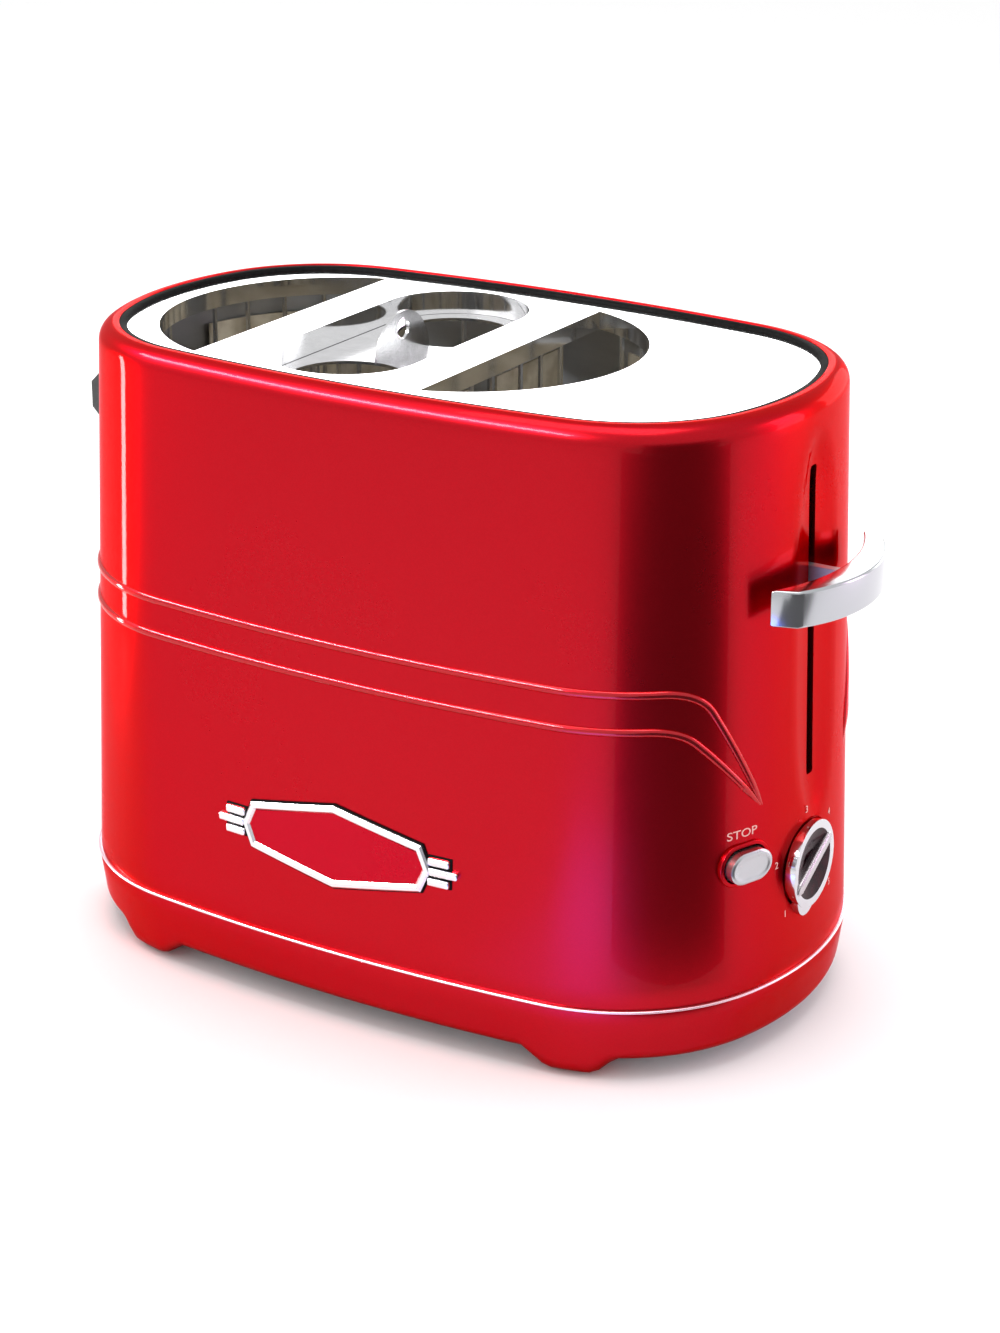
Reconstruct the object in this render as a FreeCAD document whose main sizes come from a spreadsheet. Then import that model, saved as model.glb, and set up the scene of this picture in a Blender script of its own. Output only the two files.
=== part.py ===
import FreeCAD, Part
import math
import os
import re

import Sketcher

# Pop-up toaster for two hot dogs and two buns, in millimetres, +Z up.
# The long axis lies along X with the lever at the +X end.  The origin is under the middle of the
# whole toaster, on the plane that the feet stand on.  Every piece is drawn about the housing's own
# centre and then moved by HOUSING_X, so that the lever doesn't pull the origin off the middle.

Vector = FreeCAD.Vector
UP = Vector(0, 0, 1)
# turns a piece drawn along +Z, with its top along +Y, to face +X
FACE_LEVER_END = FreeCAD.Rotation(Vector(1, 1, 1), 120)

doc = FreeCAD.newDocument("hot_dog_toaster")
sizes = doc.addObject("Spreadsheet::Sheet", "Sizes")

DRIVING_SIZES = {
    # housing outline at the rim: two long side arcs, two end arcs and four corner arcs
    "top_half_length": 127.5,
    "top_half_width": 75,
    "side_radius": 654,
    "end_radius": 100,
    "corner_radius": 57,
    "body_height": 215,
    "body_flare": 7,
    "body_wall": 2.5,
    "rim_round": 6,
    "rim_width": 9,
    "ledge_width": 3,
    "ledge_thickness": 2.4,
    "fit_gap": 0.3,
    # beads pressed round the housing
    "bead_height": 1,
    "bead_width": 2.8,
    "bead_upper_height": 131.5,
    "bead_pitch": 12,
    "bead_meeting_y": 29,
    "bead_meeting_height": 87,
    # base skirt and feet
    "seam_height": 25.5,
    "skirt_edge_height": 7,
    "skirt_tuck": 2.4,
    "skirt_proud": 0.8,
    "skirt_wall": 3,
    "skirt_round": 4,
    "lip_height": 2.5,
    "lip_thickness": 1.8,
    "foot_root": 45,
    "foot_sole": 15,
    "foot_end_gap": 43,
    "foot_pad_inset": 11,
    "foot_depth": 16,
    "sole_height": 1.2,
    "pad_radius": 5,
    "pad_height": 2.2,
    "boss_radius": 4.5,
    "boss_end_gap": 27.5,
    "boss_side_gap": 19.5,
    # sheet pieces
    "plate_drop": 1.8,
    "plate_thickness": 1.2,
    "bottom_plate_height": 8,
    "bottom_plate_thickness": 1.2,
    "chassis_thickness": 1,
    "vent_length": 30,
    "vent_width": 3,
    "vent_pitch": 8,
    "vent_count": 9,
    # openings for the food, set out from the middle of the wells
    "well_rear_gap": 9.2,
    "well_front_gap": 59.2,
    "well_side_gap": 15,
    "bun_chord_shift": 43,
    "bun_lip_depth": 5,
    "lip_sheet": 1,
    "hot_dog_side_gap": 42,
    "recess_radius": 25.5,
    "recess_depth": 9,
    "recess_seat": 2.5,
    # wire guards, cage and racks
    "wire_radius": 0.9,
    "guard_gap": 1.6,
    "guard_arc_wires": 5,
    "guard_chord_wires": 3,
    "guard_chord_pitch": 13,
    "beam_gap": 9,
    "cage_radius": 20.4,
    "cage_wires": 8,
    "cage_bottom_height": 60,
    "cage_ring_height": 1.6,
    "cage_ring_width": 1.8,
    "cage_flange": 1,
    "lug_radius": 16,
    "lug_thickness": 1,
    "lug_hole_radius": 3.6,
    "lug_hole_height": 9,
    "rack_height": 98,
    "rack_thickness": 1.2,
    "rack_inset": 10,
    "rack_chord_inset": 8,
    "rack_slot": 5,
    "rack_slot_margin": 2,
    "rack_slot_pitch": 11,
    "beam_width": 3,
    "beam_depth": 7,
    "lifter_radius": 11,
    "lifter_bar": 5,
    # heat shield and heaters
    "shield_gap": 7.5,
    "shield_sheet": 0.8,
    "card_shift": 31,
    "card_sheet": 0.8,
    "card_inner_y": 9,
    "card_outer_y": 53,
    "card_top_drop": 15,
    "winding": 0.5,
    "winding_height": 1.6,
    "winding_pitch": 20,
    "winding_count": 7,
    "ribbon_count": 5,
    "ribbon_pitch": 10,
    "ribbon_ease": 0.02,
    "winding_start_height": 52,
    "curved_card_gap": 1.2,
    "curved_card_first_angle": 12,
    "curved_card_sweep": 52,
    # lever, its slot and the carriage
    "lever_height": 155.7,
    "lever_drop": 58,
    "lever_lift": 30.3,
    "lever_depth": 12,
    "lever_half_span": 34,
    "lever_reach": 20,
    "lever_bow": 10,
    "lever_inner_bow": 5,
    "lever_middle": 9.3,
    "lever_end_slant": 3,
    "lever_round": 1.6,
    "slot_width": 4.5,
    "slot_margin": 2,
    "slot_foot_margin": 4.7,
    "arm_height": 8,
    "arm_thickness": 3,
    "arm_socket_depth": 5.5,
    "dish_depth": 2.6,
    "dish_half_height": 64,
    "dish_cross_radius": 55,
    "dish_middle_height": 138,
    "guide_block_depth": 3.5,
    "guide_block_margin": 4,
    "guide_block_half_width": 20,
    "rod_end_gap": 29.5,
    "rod_top_drop": 8,
    "rod_shift": 22,
    "rod_radius": 3,
    "rod_running_gap": 0.05,
    "bracket_thickness": 1.5,
    "bracket_half_width": 32,
    "bush_radius": 5.5,
    "bush_height": 12,
    "carriage_set": 6,
    "carriage_thickness": 2,
    "carriage_half_width": 30,
    "carriage_low": 90,
    "carriage_high": 160,
    "spring_set": 8,
    "magnet_set": 14,
    "spring_y": -16,
    "spring_radius": 4.2,
    "spring_wire": 1,
    "spring_turns": 5,
    "spring_steps": 8,
    "spring_tab_height": 156,
    "spring_tab_thickness": 2,
    "magnet_y": 21,
    "magnet_width": 14,
    "magnet_core_radius": 4,
    "magnet_height": 27,
    "armature_thickness": 2,
    # stop button
    "button_angle": 20.8,
    "button_height": 71,
    "button_length": 17.4,
    "button_width": 11,
    "button_proud": 3.4,
    "button_round": 1.2,
    "button_travel": 2.5,
    "button_skirt": 6,
    "button_flange": 1.6,
    "button_flange_thickness": 1.2,
    "button_stem_radius": 1.6,
    # dial knob and timer
    "knob_y": -5,
    "knob_height": 60.3,
    "knob_radius": 14.7,
    "knob_rim_height": 3.4,
    "knob_rim_width": 2.6,
    "knob_dish_depth": 2.4,
    "knob_seat_depth": 1.6,
    "knob_blade_height": 4.7,
    "knob_blade_width": 6,
    "knob_blade_angle": 29,
    "knob_nose_radius": 6.5,
    "knob_nose_shift": 10.7,
    "knob_nose_angle": -112,
    "shaft_radius": 3,
    "shaft_gap": 0.02,
    "timer_radius": 8.5,
    "timer_length": 8,
    "board_end_gap": 21.5,
    "board_thickness": 1.6,
    "board_low": 36,
    "board_high": 84,
    "board_left": -48,
    "board_right": 20,
    "switch_depth": 4,
    "switch_width": 8,
    # badge, spacer, gland and tray
    "badge_height": 63.3,
    "badge_half_length": 36.5,
    "badge_shoulder": 33,
    "badge_end_half_height": 8,
    "badge_half_height": 14.3,
    "badge_border": 2.6,
    "badge_end_border": 1.6,
    "badge_rise": 1.7,
    "inlay_rise": 0.9,
    "badge_bar_length": 11.5,
    "badge_bar_step": 3,
    "badge_bar_height": 2.3,
    "badge_bar_pitch": 4.2,
    "beam_end_gap": 10,
    "terminal_inset": 15,
    "vent_row_inset": 20,
    "spacer_top_gap": 26,
    "spacer_size": 17,
    "spacer_half_width": 25,
    "spacer_reach": 9.3,
    "spacer_chamfer": 4,
    "gland_x": -50,
    "gland_height": 16,
    "gland_bore_radius": 3.7,
    "gland_neck_radius": 5,
    "gland_flange_radius": 7,
    "gland_flange": 2,
    "tray_half_width": 38,
    "tray_height": 12,
    "tray_front_x": 64,
    "tray_sheet": 1.2,
    "bead_turn_radius": 14,
    "bead_upper_turn_y": 60,
    "bead_lower_turn_y": 63,
    "crumb_hole_inset": 6,
    "beam_way_half_width": 6,
    "guard_first_angle": 12,
    "guard_angle_pitch": 13,
    "lug_ease": 0.05,
    "switch_y": 38,
    "coil_cheek": 1.5,
    "knob_gap": 0.6,
    "board_bracket_width": 9,
    "knob_nose_low": 1.9,
    "button_stem_length": 9,
    "switch_reach": 12,
    "switch_top_depth": 12.5,
    "terminal_half_length": 12,
    "terminal_pitch": 7,
    "tray_scoop_shift": 38,
    "gland_seat_depth": 1.2,
    "gland_neck_length": 6,
    "screw_radius": 1.5,
    "screw_head_radius": 3,
    "screw_head_height": 1.6,
    "screw_length": 8,
}

# sizes that follow from the ones above, so that pieces move with what they fit
FOLLOWING_SIZES = {
    "chassis_height": "seam_height + lip_height",
    "well_centre": "(well_rear_gap - well_front_gap) / 2",
    "bun_arc_radius": "top_half_width - well_side_gap",
    "bun_arc_shift": "top_half_length - (well_rear_gap + well_front_gap) / 2 - bun_arc_radius - shield_gap - shield_sheet",
    "hot_dog_shift": "top_half_width - hot_dog_side_gap",
    "spacer_high": "body_height - spacer_top_gap",
    "spacer_low": "spacer_high - spacer_size",
    "boss_x": "top_half_length - boss_end_gap",
    "boss_y": "top_half_width - boss_side_gap",
    "foot_centre": "top_half_length - foot_end_gap",
    "foot_pad_y": "top_half_width - foot_pad_inset",
    "vent_row_y": "top_half_width - vent_row_inset",
    "terminal_y": "top_half_width - terminal_inset",
    "card_top_height": "body_height - card_top_drop",
    "guide_block_x": "top_half_length - guide_block_depth",
    "guide_block_low": "dish_middle_height - dish_half_height - guide_block_margin",
    "guide_block_high": "dish_middle_height + dish_half_height + guide_block_margin",
    "rod_x": "top_half_length - rod_end_gap",
    "rod_top_height": "body_height - rod_top_drop",
    "carriage_x": "rod_x - carriage_set",
    "spring_x": "carriage_x - spring_set",
    "magnet_x": "carriage_x - magnet_set",
    "board_x": "top_half_length - board_end_gap",
    "beam_reach": "bun_arc_radius + bun_arc_shift - well_centre - beam_end_gap",
}
SIZE_NAMES = list(DRIVING_SIZES) + list(FOLLOWING_SIZES)

for row, name in enumerate(SIZE_NAMES, start=1):
    sizes.set("A%d" % row, name)
    sizes.setAlias("B%d" % row, name)
for row, name in enumerate(SIZE_NAMES, start=1):
    if name in DRIVING_SIZES:
        sizes.set("B%d" % row, str(DRIVING_SIZES[name]))
    else:
        sizes.set("B%d" % row, "=" + FOLLOWING_SIZES[name])
doc.recompute()

# levels that several pieces share
PLATE_TOP = "(body_height - plate_drop)"
PLATE_SEAT = "(body_height - plate_drop - plate_thickness)"
LEDGE_BOTTOM = "(body_height - plate_drop - plate_thickness - ledge_thickness)"
LIP_TOP = "(seam_height + lip_height)"
CHASSIS_TOP = "(chassis_height + chassis_thickness)"
BOTTOM_TOP = "(bottom_plate_height + bottom_plate_thickness)"
FLANGE_SEAT = "(body_height - plate_drop - recess_depth)"
LEVER_BOTTOM = "(lever_height - lever_depth / 2)"
TRAY_BOTTOM = "(bottom_plate_height + bottom_plate_thickness + fit_gap)"
# the housing's centre from the origin
HOUSING_X = "((spacer_reach - lever_reach) / 2)"


def sized(text):
    """Put the sheet's name before each size that an expression names."""
    def prefix(word):
        return "Sizes." + word.group() if word.group() in SIZE_NAMES else word.group()
    return re.sub(r"[a-z_]+", prefix, text)


def amount(text):
    """The value of an expression of sizes."""
    return float(sizes.evalExpression(sized(text)))


def bind(item, target, text):
    """Tie a property to an expression of sizes."""
    item.setExpression(target, sized(text))


def at(item, x="0", y="0", z="0", rotation=None):
    """Place an object by expressions, in the housing's own frame."""
    if rotation is not None:
        item.Placement = FreeCAD.Placement(Vector(0, 0, 0), rotation)
    bind(item, "Placement.Base.x", x)
    bind(item, "Placement.Base.y", y)
    bind(item, "Placement.Base.z", z)
    return item


# ---------------------------------------------------------------- sketches

def new_body(name):
    body = doc.addObject("PartDesign::Body", name)
    body.Label = name
    return body


def sketch_on(body, role="XY_Plane", offset="0"):
    plane = [item for item in body.Origin.OriginFeatures if item.Role == role][0]
    sketch = body.newObject("Sketcher::SketchObject", body.Name + "_sketch")
    sketch.AttachmentSupport = (plane, [""])
    sketch.MapMode = "FlatFace"
    bind(sketch, "AttachmentOffset.Base.z", offset)
    return sketch


def constrain(sketch, kind, items, text):
    index = sketch.addConstraint(Sketcher.Constraint(kind, *items, amount(text)))
    bind(sketch, "Constraints[%d]" % index, text)


def locate(sketch, item, point, x, y):
    """Tie a point of a sketch to its distances from the sketch's origin."""
    for kind, axis, text in (("DistanceX", -2, x), ("DistanceY", -1, y)):
        distance = amount(text)
        if abs(distance) < 1e-6:
            sketch.addConstraint(Sketcher.Constraint("PointOnObject", item, point, axis))
        elif distance > 0:
            constrain(sketch, kind, (-1, 1, item, point), text)
        else:
            constrain(sketch, kind, (item, point, -1, 1), "-(" + text + ")")


def circle(sketch, x, y, radius):
    centre = Vector(amount(x), amount(y), 0)
    item = sketch.addGeometry(Part.Circle(centre, UP, amount(radius)))
    locate(sketch, item, 3, x, y)
    constrain(sketch, "Radius", (item,), radius)


def nearest_end(sketch, item, point):
    return min((1, 2), key=lambda end: (sketch.getPoint(item, end) - point).Length)


def profile(sketch, corners, arcs=None):
    """A closed outline through corners.  arcs gives an edge's radius and its side, +1 for an edge
    that bulges to the right of the way round, and -1 for one that bulges to the left."""
    arcs = arcs or {}
    points = [Vector(amount(x), amount(y), 0) for x, y in corners]
    items = []
    for edge, start in enumerate(points):
        end = points[(edge + 1) % len(points)]
        if edge in arcs:
            radius, side = arcs[edge]
            half = (end - start) / 2
            sagitta = amount(radius) - math.sqrt(amount(radius) ** 2 - half.Length ** 2)
            across = Vector(half.y, -half.x, 0).normalize() * side
            curve = Part.Arc(start, start + half + across * sagitta, end)
            items.append(sketch.addGeometry(curve))
        else:
            items.append(sketch.addGeometry(Part.LineSegment(start, end)))
    for edge, item in enumerate(items):
        start = points[edge]
        before = items[edge - 1]
        here = nearest_end(sketch, item, start)
        there = nearest_end(sketch, before, start)
        sketch.addConstraint(Sketcher.Constraint("Coincident", before, there, item, here))
        locate(sketch, item, here, *corners[edge])
        if edge in arcs:
            constrain(sketch, "Radius", (item,), arcs[edge][0])


def box_outline(sketch, x_low, x_high, y_low, y_high):
    profile(sketch, [(x_low, y_low), (x_high, y_low), (x_high, y_high), (x_low, y_high)])


def obround(sketch, x, y, half_straight, radius, along_x=False):
    """Two half circles joined by two straight sides."""
    centre = Vector(amount(x), amount(y), 0)
    away = Vector(1, 0, 0) if along_x else Vector(0, 1, 0)
    across = Vector(away.y, -away.x, 0)
    reach = amount(half_straight)
    size = amount(radius)
    quarter = math.pi / 2
    turn = 0 if along_x else quarter
    ends = []
    for sign, start in ((1, turn - quarter), (-1, turn + quarter)):
        ring = Part.Circle(centre + away * reach * sign, UP, size)
        ends.append(sketch.addGeometry(Part.ArcOfCircle(ring, start, start + math.pi)))
    sides = []
    for sign in (1, -1):
        start = centre + away * reach * sign - across * size * sign
        sides.append(sketch.addGeometry(Part.LineSegment(start, start - away * 2 * reach * sign)))
    far, near = ends
    left, right = sides
    sketch.addConstraint(Sketcher.Constraint("Tangent", far, 2, left, 1))
    sketch.addConstraint(Sketcher.Constraint("Tangent", left, 2, near, 1))
    sketch.addConstraint(Sketcher.Constraint("Tangent", near, 2, right, 1))
    sketch.addConstraint(Sketcher.Constraint("Tangent", right, 2, far, 1))
    for item, sign in ((far, " + "), (near, " - ")):
        shift = sign + "(" + half_straight + ")"
        if along_x:
            locate(sketch, item, 3, x + shift, y)
        else:
            locate(sketch, item, 3, x, y + shift)
    constrain(sketch, "Radius", (far,), radius)
    constrain(sketch, "Radius", (near,), radius)


def outline(sketch, growth):
    """The housing's plan, grown outwards by growth: eight arcs, each tangent to the next."""
    grow = amount(growth)
    side = Vector(0, amount("top_half_width - side_radius"), 0)
    end = Vector(amount("top_half_length - end_radius"), 0, 0)
    to_corner_side = amount("side_radius - corner_radius")
    to_corner_end = amount("end_radius - corner_radius")
    apart = end - side
    along = (to_corner_side ** 2 - to_corner_end ** 2 + apart.Length ** 2) / (2 * apart.Length)
    off = math.sqrt(to_corner_side ** 2 - along ** 2)
    unit = Vector(apart).normalize()
    corner = side + unit * along + Vector(unit.y, -unit.x, 0) * off
    side_angle = math.atan2(corner.y - side.y, corner.x - side.x)
    end_angle = math.atan2(corner.y - end.y, corner.x - end.x)
    half_turn = math.pi
    arcs = [
        (end.x, 0, "end_radius", -end_angle, end_angle),
        (corner.x, corner.y, "corner_radius", end_angle, side_angle),
        (0, side.y, "side_radius", side_angle, half_turn - side_angle),
        (-corner.x, corner.y, "corner_radius", half_turn - side_angle, half_turn - end_angle),
        (-end.x, 0, "end_radius", half_turn - end_angle, half_turn + end_angle),
        (-corner.x, -corner.y, "corner_radius", half_turn + end_angle, half_turn + side_angle),
        (0, -side.y, "side_radius", half_turn + side_angle, 2 * half_turn - side_angle),
        (corner.x, -corner.y, "corner_radius", -side_angle, -end_angle),
    ]
    items = []
    for x, y, radius, start, finish in arcs:
        ring = Part.Circle(Vector(x, y, 0), UP, amount(radius) + grow)
        items.append(sketch.addGeometry(Part.ArcOfCircle(ring, start, finish)))
    for item, following in zip(items, items[1:] + items[:1]):
        sketch.addConstraint(Sketcher.Constraint("Tangent", item, 2, following, 1))
    locate(sketch, items[0], 3, "top_half_length - end_radius", "0")
    locate(sketch, items[4], 3, "end_radius - top_half_length", "0")
    locate(sketch, items[2], 3, "0", "top_half_width - side_radius")
    locate(sketch, items[6], 3, "0", "side_radius - top_half_width")
    for item, (x, y, radius, start, finish) in zip(items, arcs):
        constrain(sketch, "Radius", (item,), radius + " + " + growth)


def bun_outline(sketch, sign, inset, chord_inset=None):
    """The D-shaped outline of a bun well: an arc outwards and a chord towards the hot dogs."""
    chord_inset = chord_inset or inset
    chord = "(bun_chord_shift + " + chord_inset + ")"
    radius = "(bun_arc_radius - " + inset + ")"
    half = "sqrt(" + radius + " ^ 2 - (" + chord + " - bun_arc_shift) ^ 2)"
    x = "well_centre + " + sign + " * " + chord
    side = 1 if amount(sign) > 0 else -1
    profile(sketch, [(x, "-" + half), (x, half)], {0: (radius, side)})


# ---------------------------------------------------------------- solids

def feature(body, kind, sketch, **settings):
    item = body.newObject("PartDesign::" + kind, body.Name + "_" + kind.lower())
    item.Profile = sketch
    for key, value in settings.items():
        if isinstance(value, str) and key in ("Length", "Angle"):
            bind(item, key, value)
        else:
            setattr(item, key, value)
    return item


def pad(body, sketch, length, **settings):
    return feature(body, "Pad", sketch, Length=length, **settings)


def pocket(body, sketch, length, **settings):
    """Cut a sketch out of a body, and stop where the cut takes nothing away."""
    doc.recompute()
    before = body.Shape.Volume
    item = feature(body, "Pocket", sketch, Length=length, **settings)
    doc.recompute()
    if body.Shape.Volume > before - 1e-6:
        raise ValueError(item.Name + " cuts nothing")
    return item


def stacked_loft(name, levels):
    """A form through the housing's plan at several heights, each with its own growth."""
    body = new_body(name)
    sections = []
    for height, growth in levels:
        sketch = sketch_on(body, "XY_Plane", height)
        outline(sketch, growth)
        sections.append(sketch)
    loft = body.newObject("PartDesign::AdditiveLoft", name + "_loft")
    loft.Profile = sections[0]
    loft.Sections = [(section, [""]) for section in sections[1:]]
    loft.Ruled = True
    return body


def flare_at(height):
    """How far the housing's outline has grown at a height."""
    return "(body_flare * (body_height - " + height + ") / (body_height - seam_height))"


def skirt_growth(height):
    """How far the skirt's outline stands outside the rim's at a height."""
    return ("(body_flare + skirt_proud - skirt_tuck * (seam_height - " + height
            + ") / (seam_height - skirt_edge_height))")


def tapered_form(name, growth, low, high):
    """The housing's form between two heights, grown by a constant."""
    return stacked_loft(name, [(height, flare_at(height) + " + " + growth) for height in (low, high)])


def skirt_form(name, growth, low, high):
    """The skirt's form between two heights, grown by a constant."""
    return stacked_loft(name, [(height, skirt_growth(height) + " + " + growth) for height in (low, high)])


def rounding(radius, share):
    """How far a quarter round of a radius has drawn in at a share of its height."""
    return "(" + radius + " * (1 - sqrt(1 - " + share + " ^ 2)))"


def rounded_housing():
    """The housing's outer form, with its rim rounded in a few steps."""
    levels = [("seam_height", "body_flare")]
    for share in ("0", "0.5", "0.87", "1"):
        height = "(body_height - rim_round * (1 - " + share + "))"
        levels.append((height, flare_at(height) + " - " + rounding("rim_round", share)))
    return stacked_loft("housing_form", levels)


def rounded_skirt():
    """The skirt's outer form, with its lower edge rounded in a few steps."""
    levels = []
    for share in ("1", "0.8", "0"):
        height = "(skirt_edge_height + skirt_round * (1 - " + share + "))"
        levels.append((height, skirt_growth(height) + " - " + rounding("skirt_round", share)))
    levels.append(("seam_height", skirt_growth("seam_height")))
    return stacked_loft("skirt_outer", levels)


def plan_pad(name, growth, low, length):
    body = new_body(name)
    sketch = sketch_on(body, "XY_Plane", low)
    outline(sketch, growth)
    pad(body, sketch, length)
    return body


def box(name, x_low, x_high, y_low, y_high, z_low, z_high):
    item = doc.addObject("Part::Box", name)
    for key, low, high in (("Length", x_low, x_high), ("Width", y_low, y_high), ("Height", z_low, z_high)):
        bind(item, key, "(" + high + ") - (" + low + ")")
    return at(item, x_low, y_low, z_low)


def cylinder(name, radius, x, y, z_low, z_high):
    item = doc.addObject("Part::Cylinder", name)
    bind(item, "Radius", radius)
    bind(item, "Height", "(" + z_high + ") - (" + z_low + ")")
    return at(item, x, y, z_low)


def wire(name, x, y, z_low, z_high):
    """An upright wire of the guards and the cage, six-sided."""
    item = doc.addObject("Part::Prism", name)
    item.Polygon = 6
    bind(item, "Circumradius", "wire_radius")
    bind(item, "Height", "(" + z_high + ") - (" + z_low + ")")
    return at(item, x, y, z_low)


def cut(name, base, *tools):
    """Take each tool from the base in turn."""
    for number, tool in enumerate(tools, start=1):
        last = number == len(tools)
        item = doc.addObject("Part::Cut", name if last else name + "_step")
        item.Base = base
        item.Tool = tool
        base = item
    base.Label = name
    return base


def fuse(name, *pieces):
    item = doc.addObject("Part::MultiFuse", name)
    item.Shapes = list(pieces)
    item.Refine = True
    item.Label = name
    return item


def common(name, *pieces):
    item = doc.addObject("Part::MultiCommon", name)
    item.Shapes = list(pieces)
    item.Label = name
    return item


def group(name, pieces):
    """Separate solids that are one kind of piece."""
    item = doc.addObject("Part::Compound", name)
    item.Links = list(pieces)
    item.Label = name
    return item


def chamfer_edges(body, size, chosen):
    """Chamfer the edges of a body that chosen picks by their bounds."""
    doc.recompute()
    base = body.Tip
    names = []
    for number, edge in enumerate(base.Shape.Edges, start=1):
        if chosen(edge.BoundBox):
            names.append("Edge%d" % number)
    item = body.newObject("PartDesign::Chamfer", body.Name + "_chamfer")
    item.Base = (base, names)
    bind(item, "Size", size)
    return item


def screw(name, x, y, head_low, length, upwards):
    """A hexagon-head screw without its thread, driven upwards or downwards."""
    head = doc.addObject("Part::Prism", name + "_head")
    head.Polygon = 6
    bind(head, "Circumradius", "screw_head_radius")
    bind(head, "Height", "screw_head_height")
    at(head, x, y, head_low)
    low = head_low + " + screw_head_height - fit_gap" if upwards else head_low + " - " + length
    shank = doc.addObject("Part::Prism", name + "_shank")
    shank.Polygon = 8
    bind(shank, "Circumradius", "screw_radius")
    bind(shank, "Height", length + " + fit_gap")
    return fuse(name, head, at(shank, x, y, low))


CORNERS = [(sx, sy) for sx in ("-1", "1") for sy in ("-1", "1")]
BOTTOM_GROWTH = "(" + skirt_growth("bottom_plate_height") + " - skirt_wall - fit_gap)"


def pad_of(name, draw, low, length, role="XY_Plane"):
    """A body padded from one sketch that draw fills in."""
    body = new_body(name)
    sketch = sketch_on(body, role, low)
    draw(sketch)
    pad(body, sketch, length)
    return body


def tube(name, draw_outer, draw_inner, low, length):
    """A wall between two outlines."""
    body = new_body(name)
    sketch = sketch_on(body, "XY_Plane", low)
    draw_outer(sketch)
    draw_inner(sketch)
    pad(body, sketch, length)
    return body


def end_surface_x(height):
    """Where the housing's lever end stands at a height, on the middle plane."""
    return "(top_half_length + " + flare_at(height) + ")"


def place_by_button(item, depth):
    """Set a piece drawn along +Z on the button's axis, with its zero at a depth below the surface."""
    turn = FreeCAD.Rotation(UP, -amount("button_angle")).multiply(FACE_LEVER_END)
    radius = "(end_radius + " + flare_at("button_height") + " - (" + depth + "))"
    return at(item, "top_half_length - end_radius + " + radius + " * cos(button_angle)",
              "-" + radius + " * sin(button_angle)", "button_height", turn)


def place_by_knob(item, depth):
    """Set a piece drawn along +Z on the knob's axis, with its zero at a depth below the surface."""
    return at(item, end_surface_x("knob_height") + " - (" + depth + ")", "knob_y", "knob_height", FACE_LEVER_END)


def oval_cap(name, growth, length):
    half = "((button_length - button_width) / 2)"
    radius = "(button_width / 2 + " + growth + ")"
    return pad_of(name, lambda sketch: obround(sketch, "0", "0", half, radius, True), "0", length)


def food_slot(name, sign, inset, low, length, chord_inset=None):
    return pad_of(name, lambda sketch: bun_outline(sketch, sign, inset, chord_inset), low, length)


def hot_dog_pair(name, radius, low, length):
    """A stadium round both hot-dog holes."""
    def draw(sketch):
        obround(sketch, "well_centre", "0", "hot_dog_shift", radius)
    return pad_of(name, draw, low, length)


# ---------------------------------------------------------------- housing

def pressed_beads():
    """Bands that mark the two raised beads.  At the lever end they turn down and meet."""
    half = amount("bead_width / 2")
    far = amount("top_half_length + body_flare + bead_height") * 2
    turn_x = amount("rod_x / 2")
    meeting = Vector(0, amount("bead_meeting_y"), amount("bead_meeting_height"))
    turn_radius = amount("bead_turn_radius")
    bands = []
    for level, turn_y in ((amount("bead_upper_height"), amount("bead_upper_turn_y")),
                          (amount("bead_upper_height - bead_pitch"), amount("bead_lower_turn_y"))):
        slab = Part.makeBox(far + turn_x, 2 * far, 2 * half, Vector(-far, -far, level - half))
        bands.append(slab)
        centre = Vector(0, turn_y, level - turn_radius)
        # the straight run to the meeting point is tangent to the turn
        offset = meeting - centre
        touch_angle = math.atan2(offset.z, offset.y) - math.acos(turn_radius / offset.Length)
        touch_angle = touch_angle % (2 * math.pi)
        middle_angle = (math.pi / 2 + touch_angle) / 2
        sides = []
        for level_side, radius in ((level - half, turn_radius - half), (level + half, turn_radius + half)):
            turn_start = Vector(0, turn_y, level_side)
            touch = centre + Vector(0, math.cos(touch_angle), math.sin(touch_angle)) * radius
            middle = centre + Vector(0, math.cos(middle_angle), math.sin(middle_angle)) * radius
            along = Vector(0, math.sin(touch_angle), -math.cos(touch_angle))
            run_end = touch + along * (meeting - touch).dot(along)
            sides.append((Vector(0, far, level_side), turn_start, middle, touch, run_end))
        inner, outer = sides
        edges = [
            Part.LineSegment(inner[0], inner[1]).toShape(),
            Part.Arc(inner[1], inner[2], inner[3]).toShape(),
            Part.LineSegment(inner[3], inner[4]).toShape(),
            Part.LineSegment(inner[4], outer[4]).toShape(),
            Part.LineSegment(outer[4], outer[3]).toShape(),
            Part.Arc(outer[3], outer[2], outer[1]).toShape(),
            Part.LineSegment(outer[1], outer[0]).toShape(),
            Part.LineSegment(outer[0], inner[0]).toShape(),
        ]
        face = Part.Face(Part.Wire(edges))
        for turned in (False, True):
            side_face = face.mirror(Vector(0, 0, 0), Vector(0, 1, 0)) if turned else face.copy()
            side_face.translate(Vector(turn_x, 0, 0))
            bands.append(side_face.extrude(Vector(far, 0, 0)))
    beads = doc.addObject("Part::Feature", "bead_bands")
    beads.Shape = bands[0].multiFuse(bands[1:])
    return beads


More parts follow.
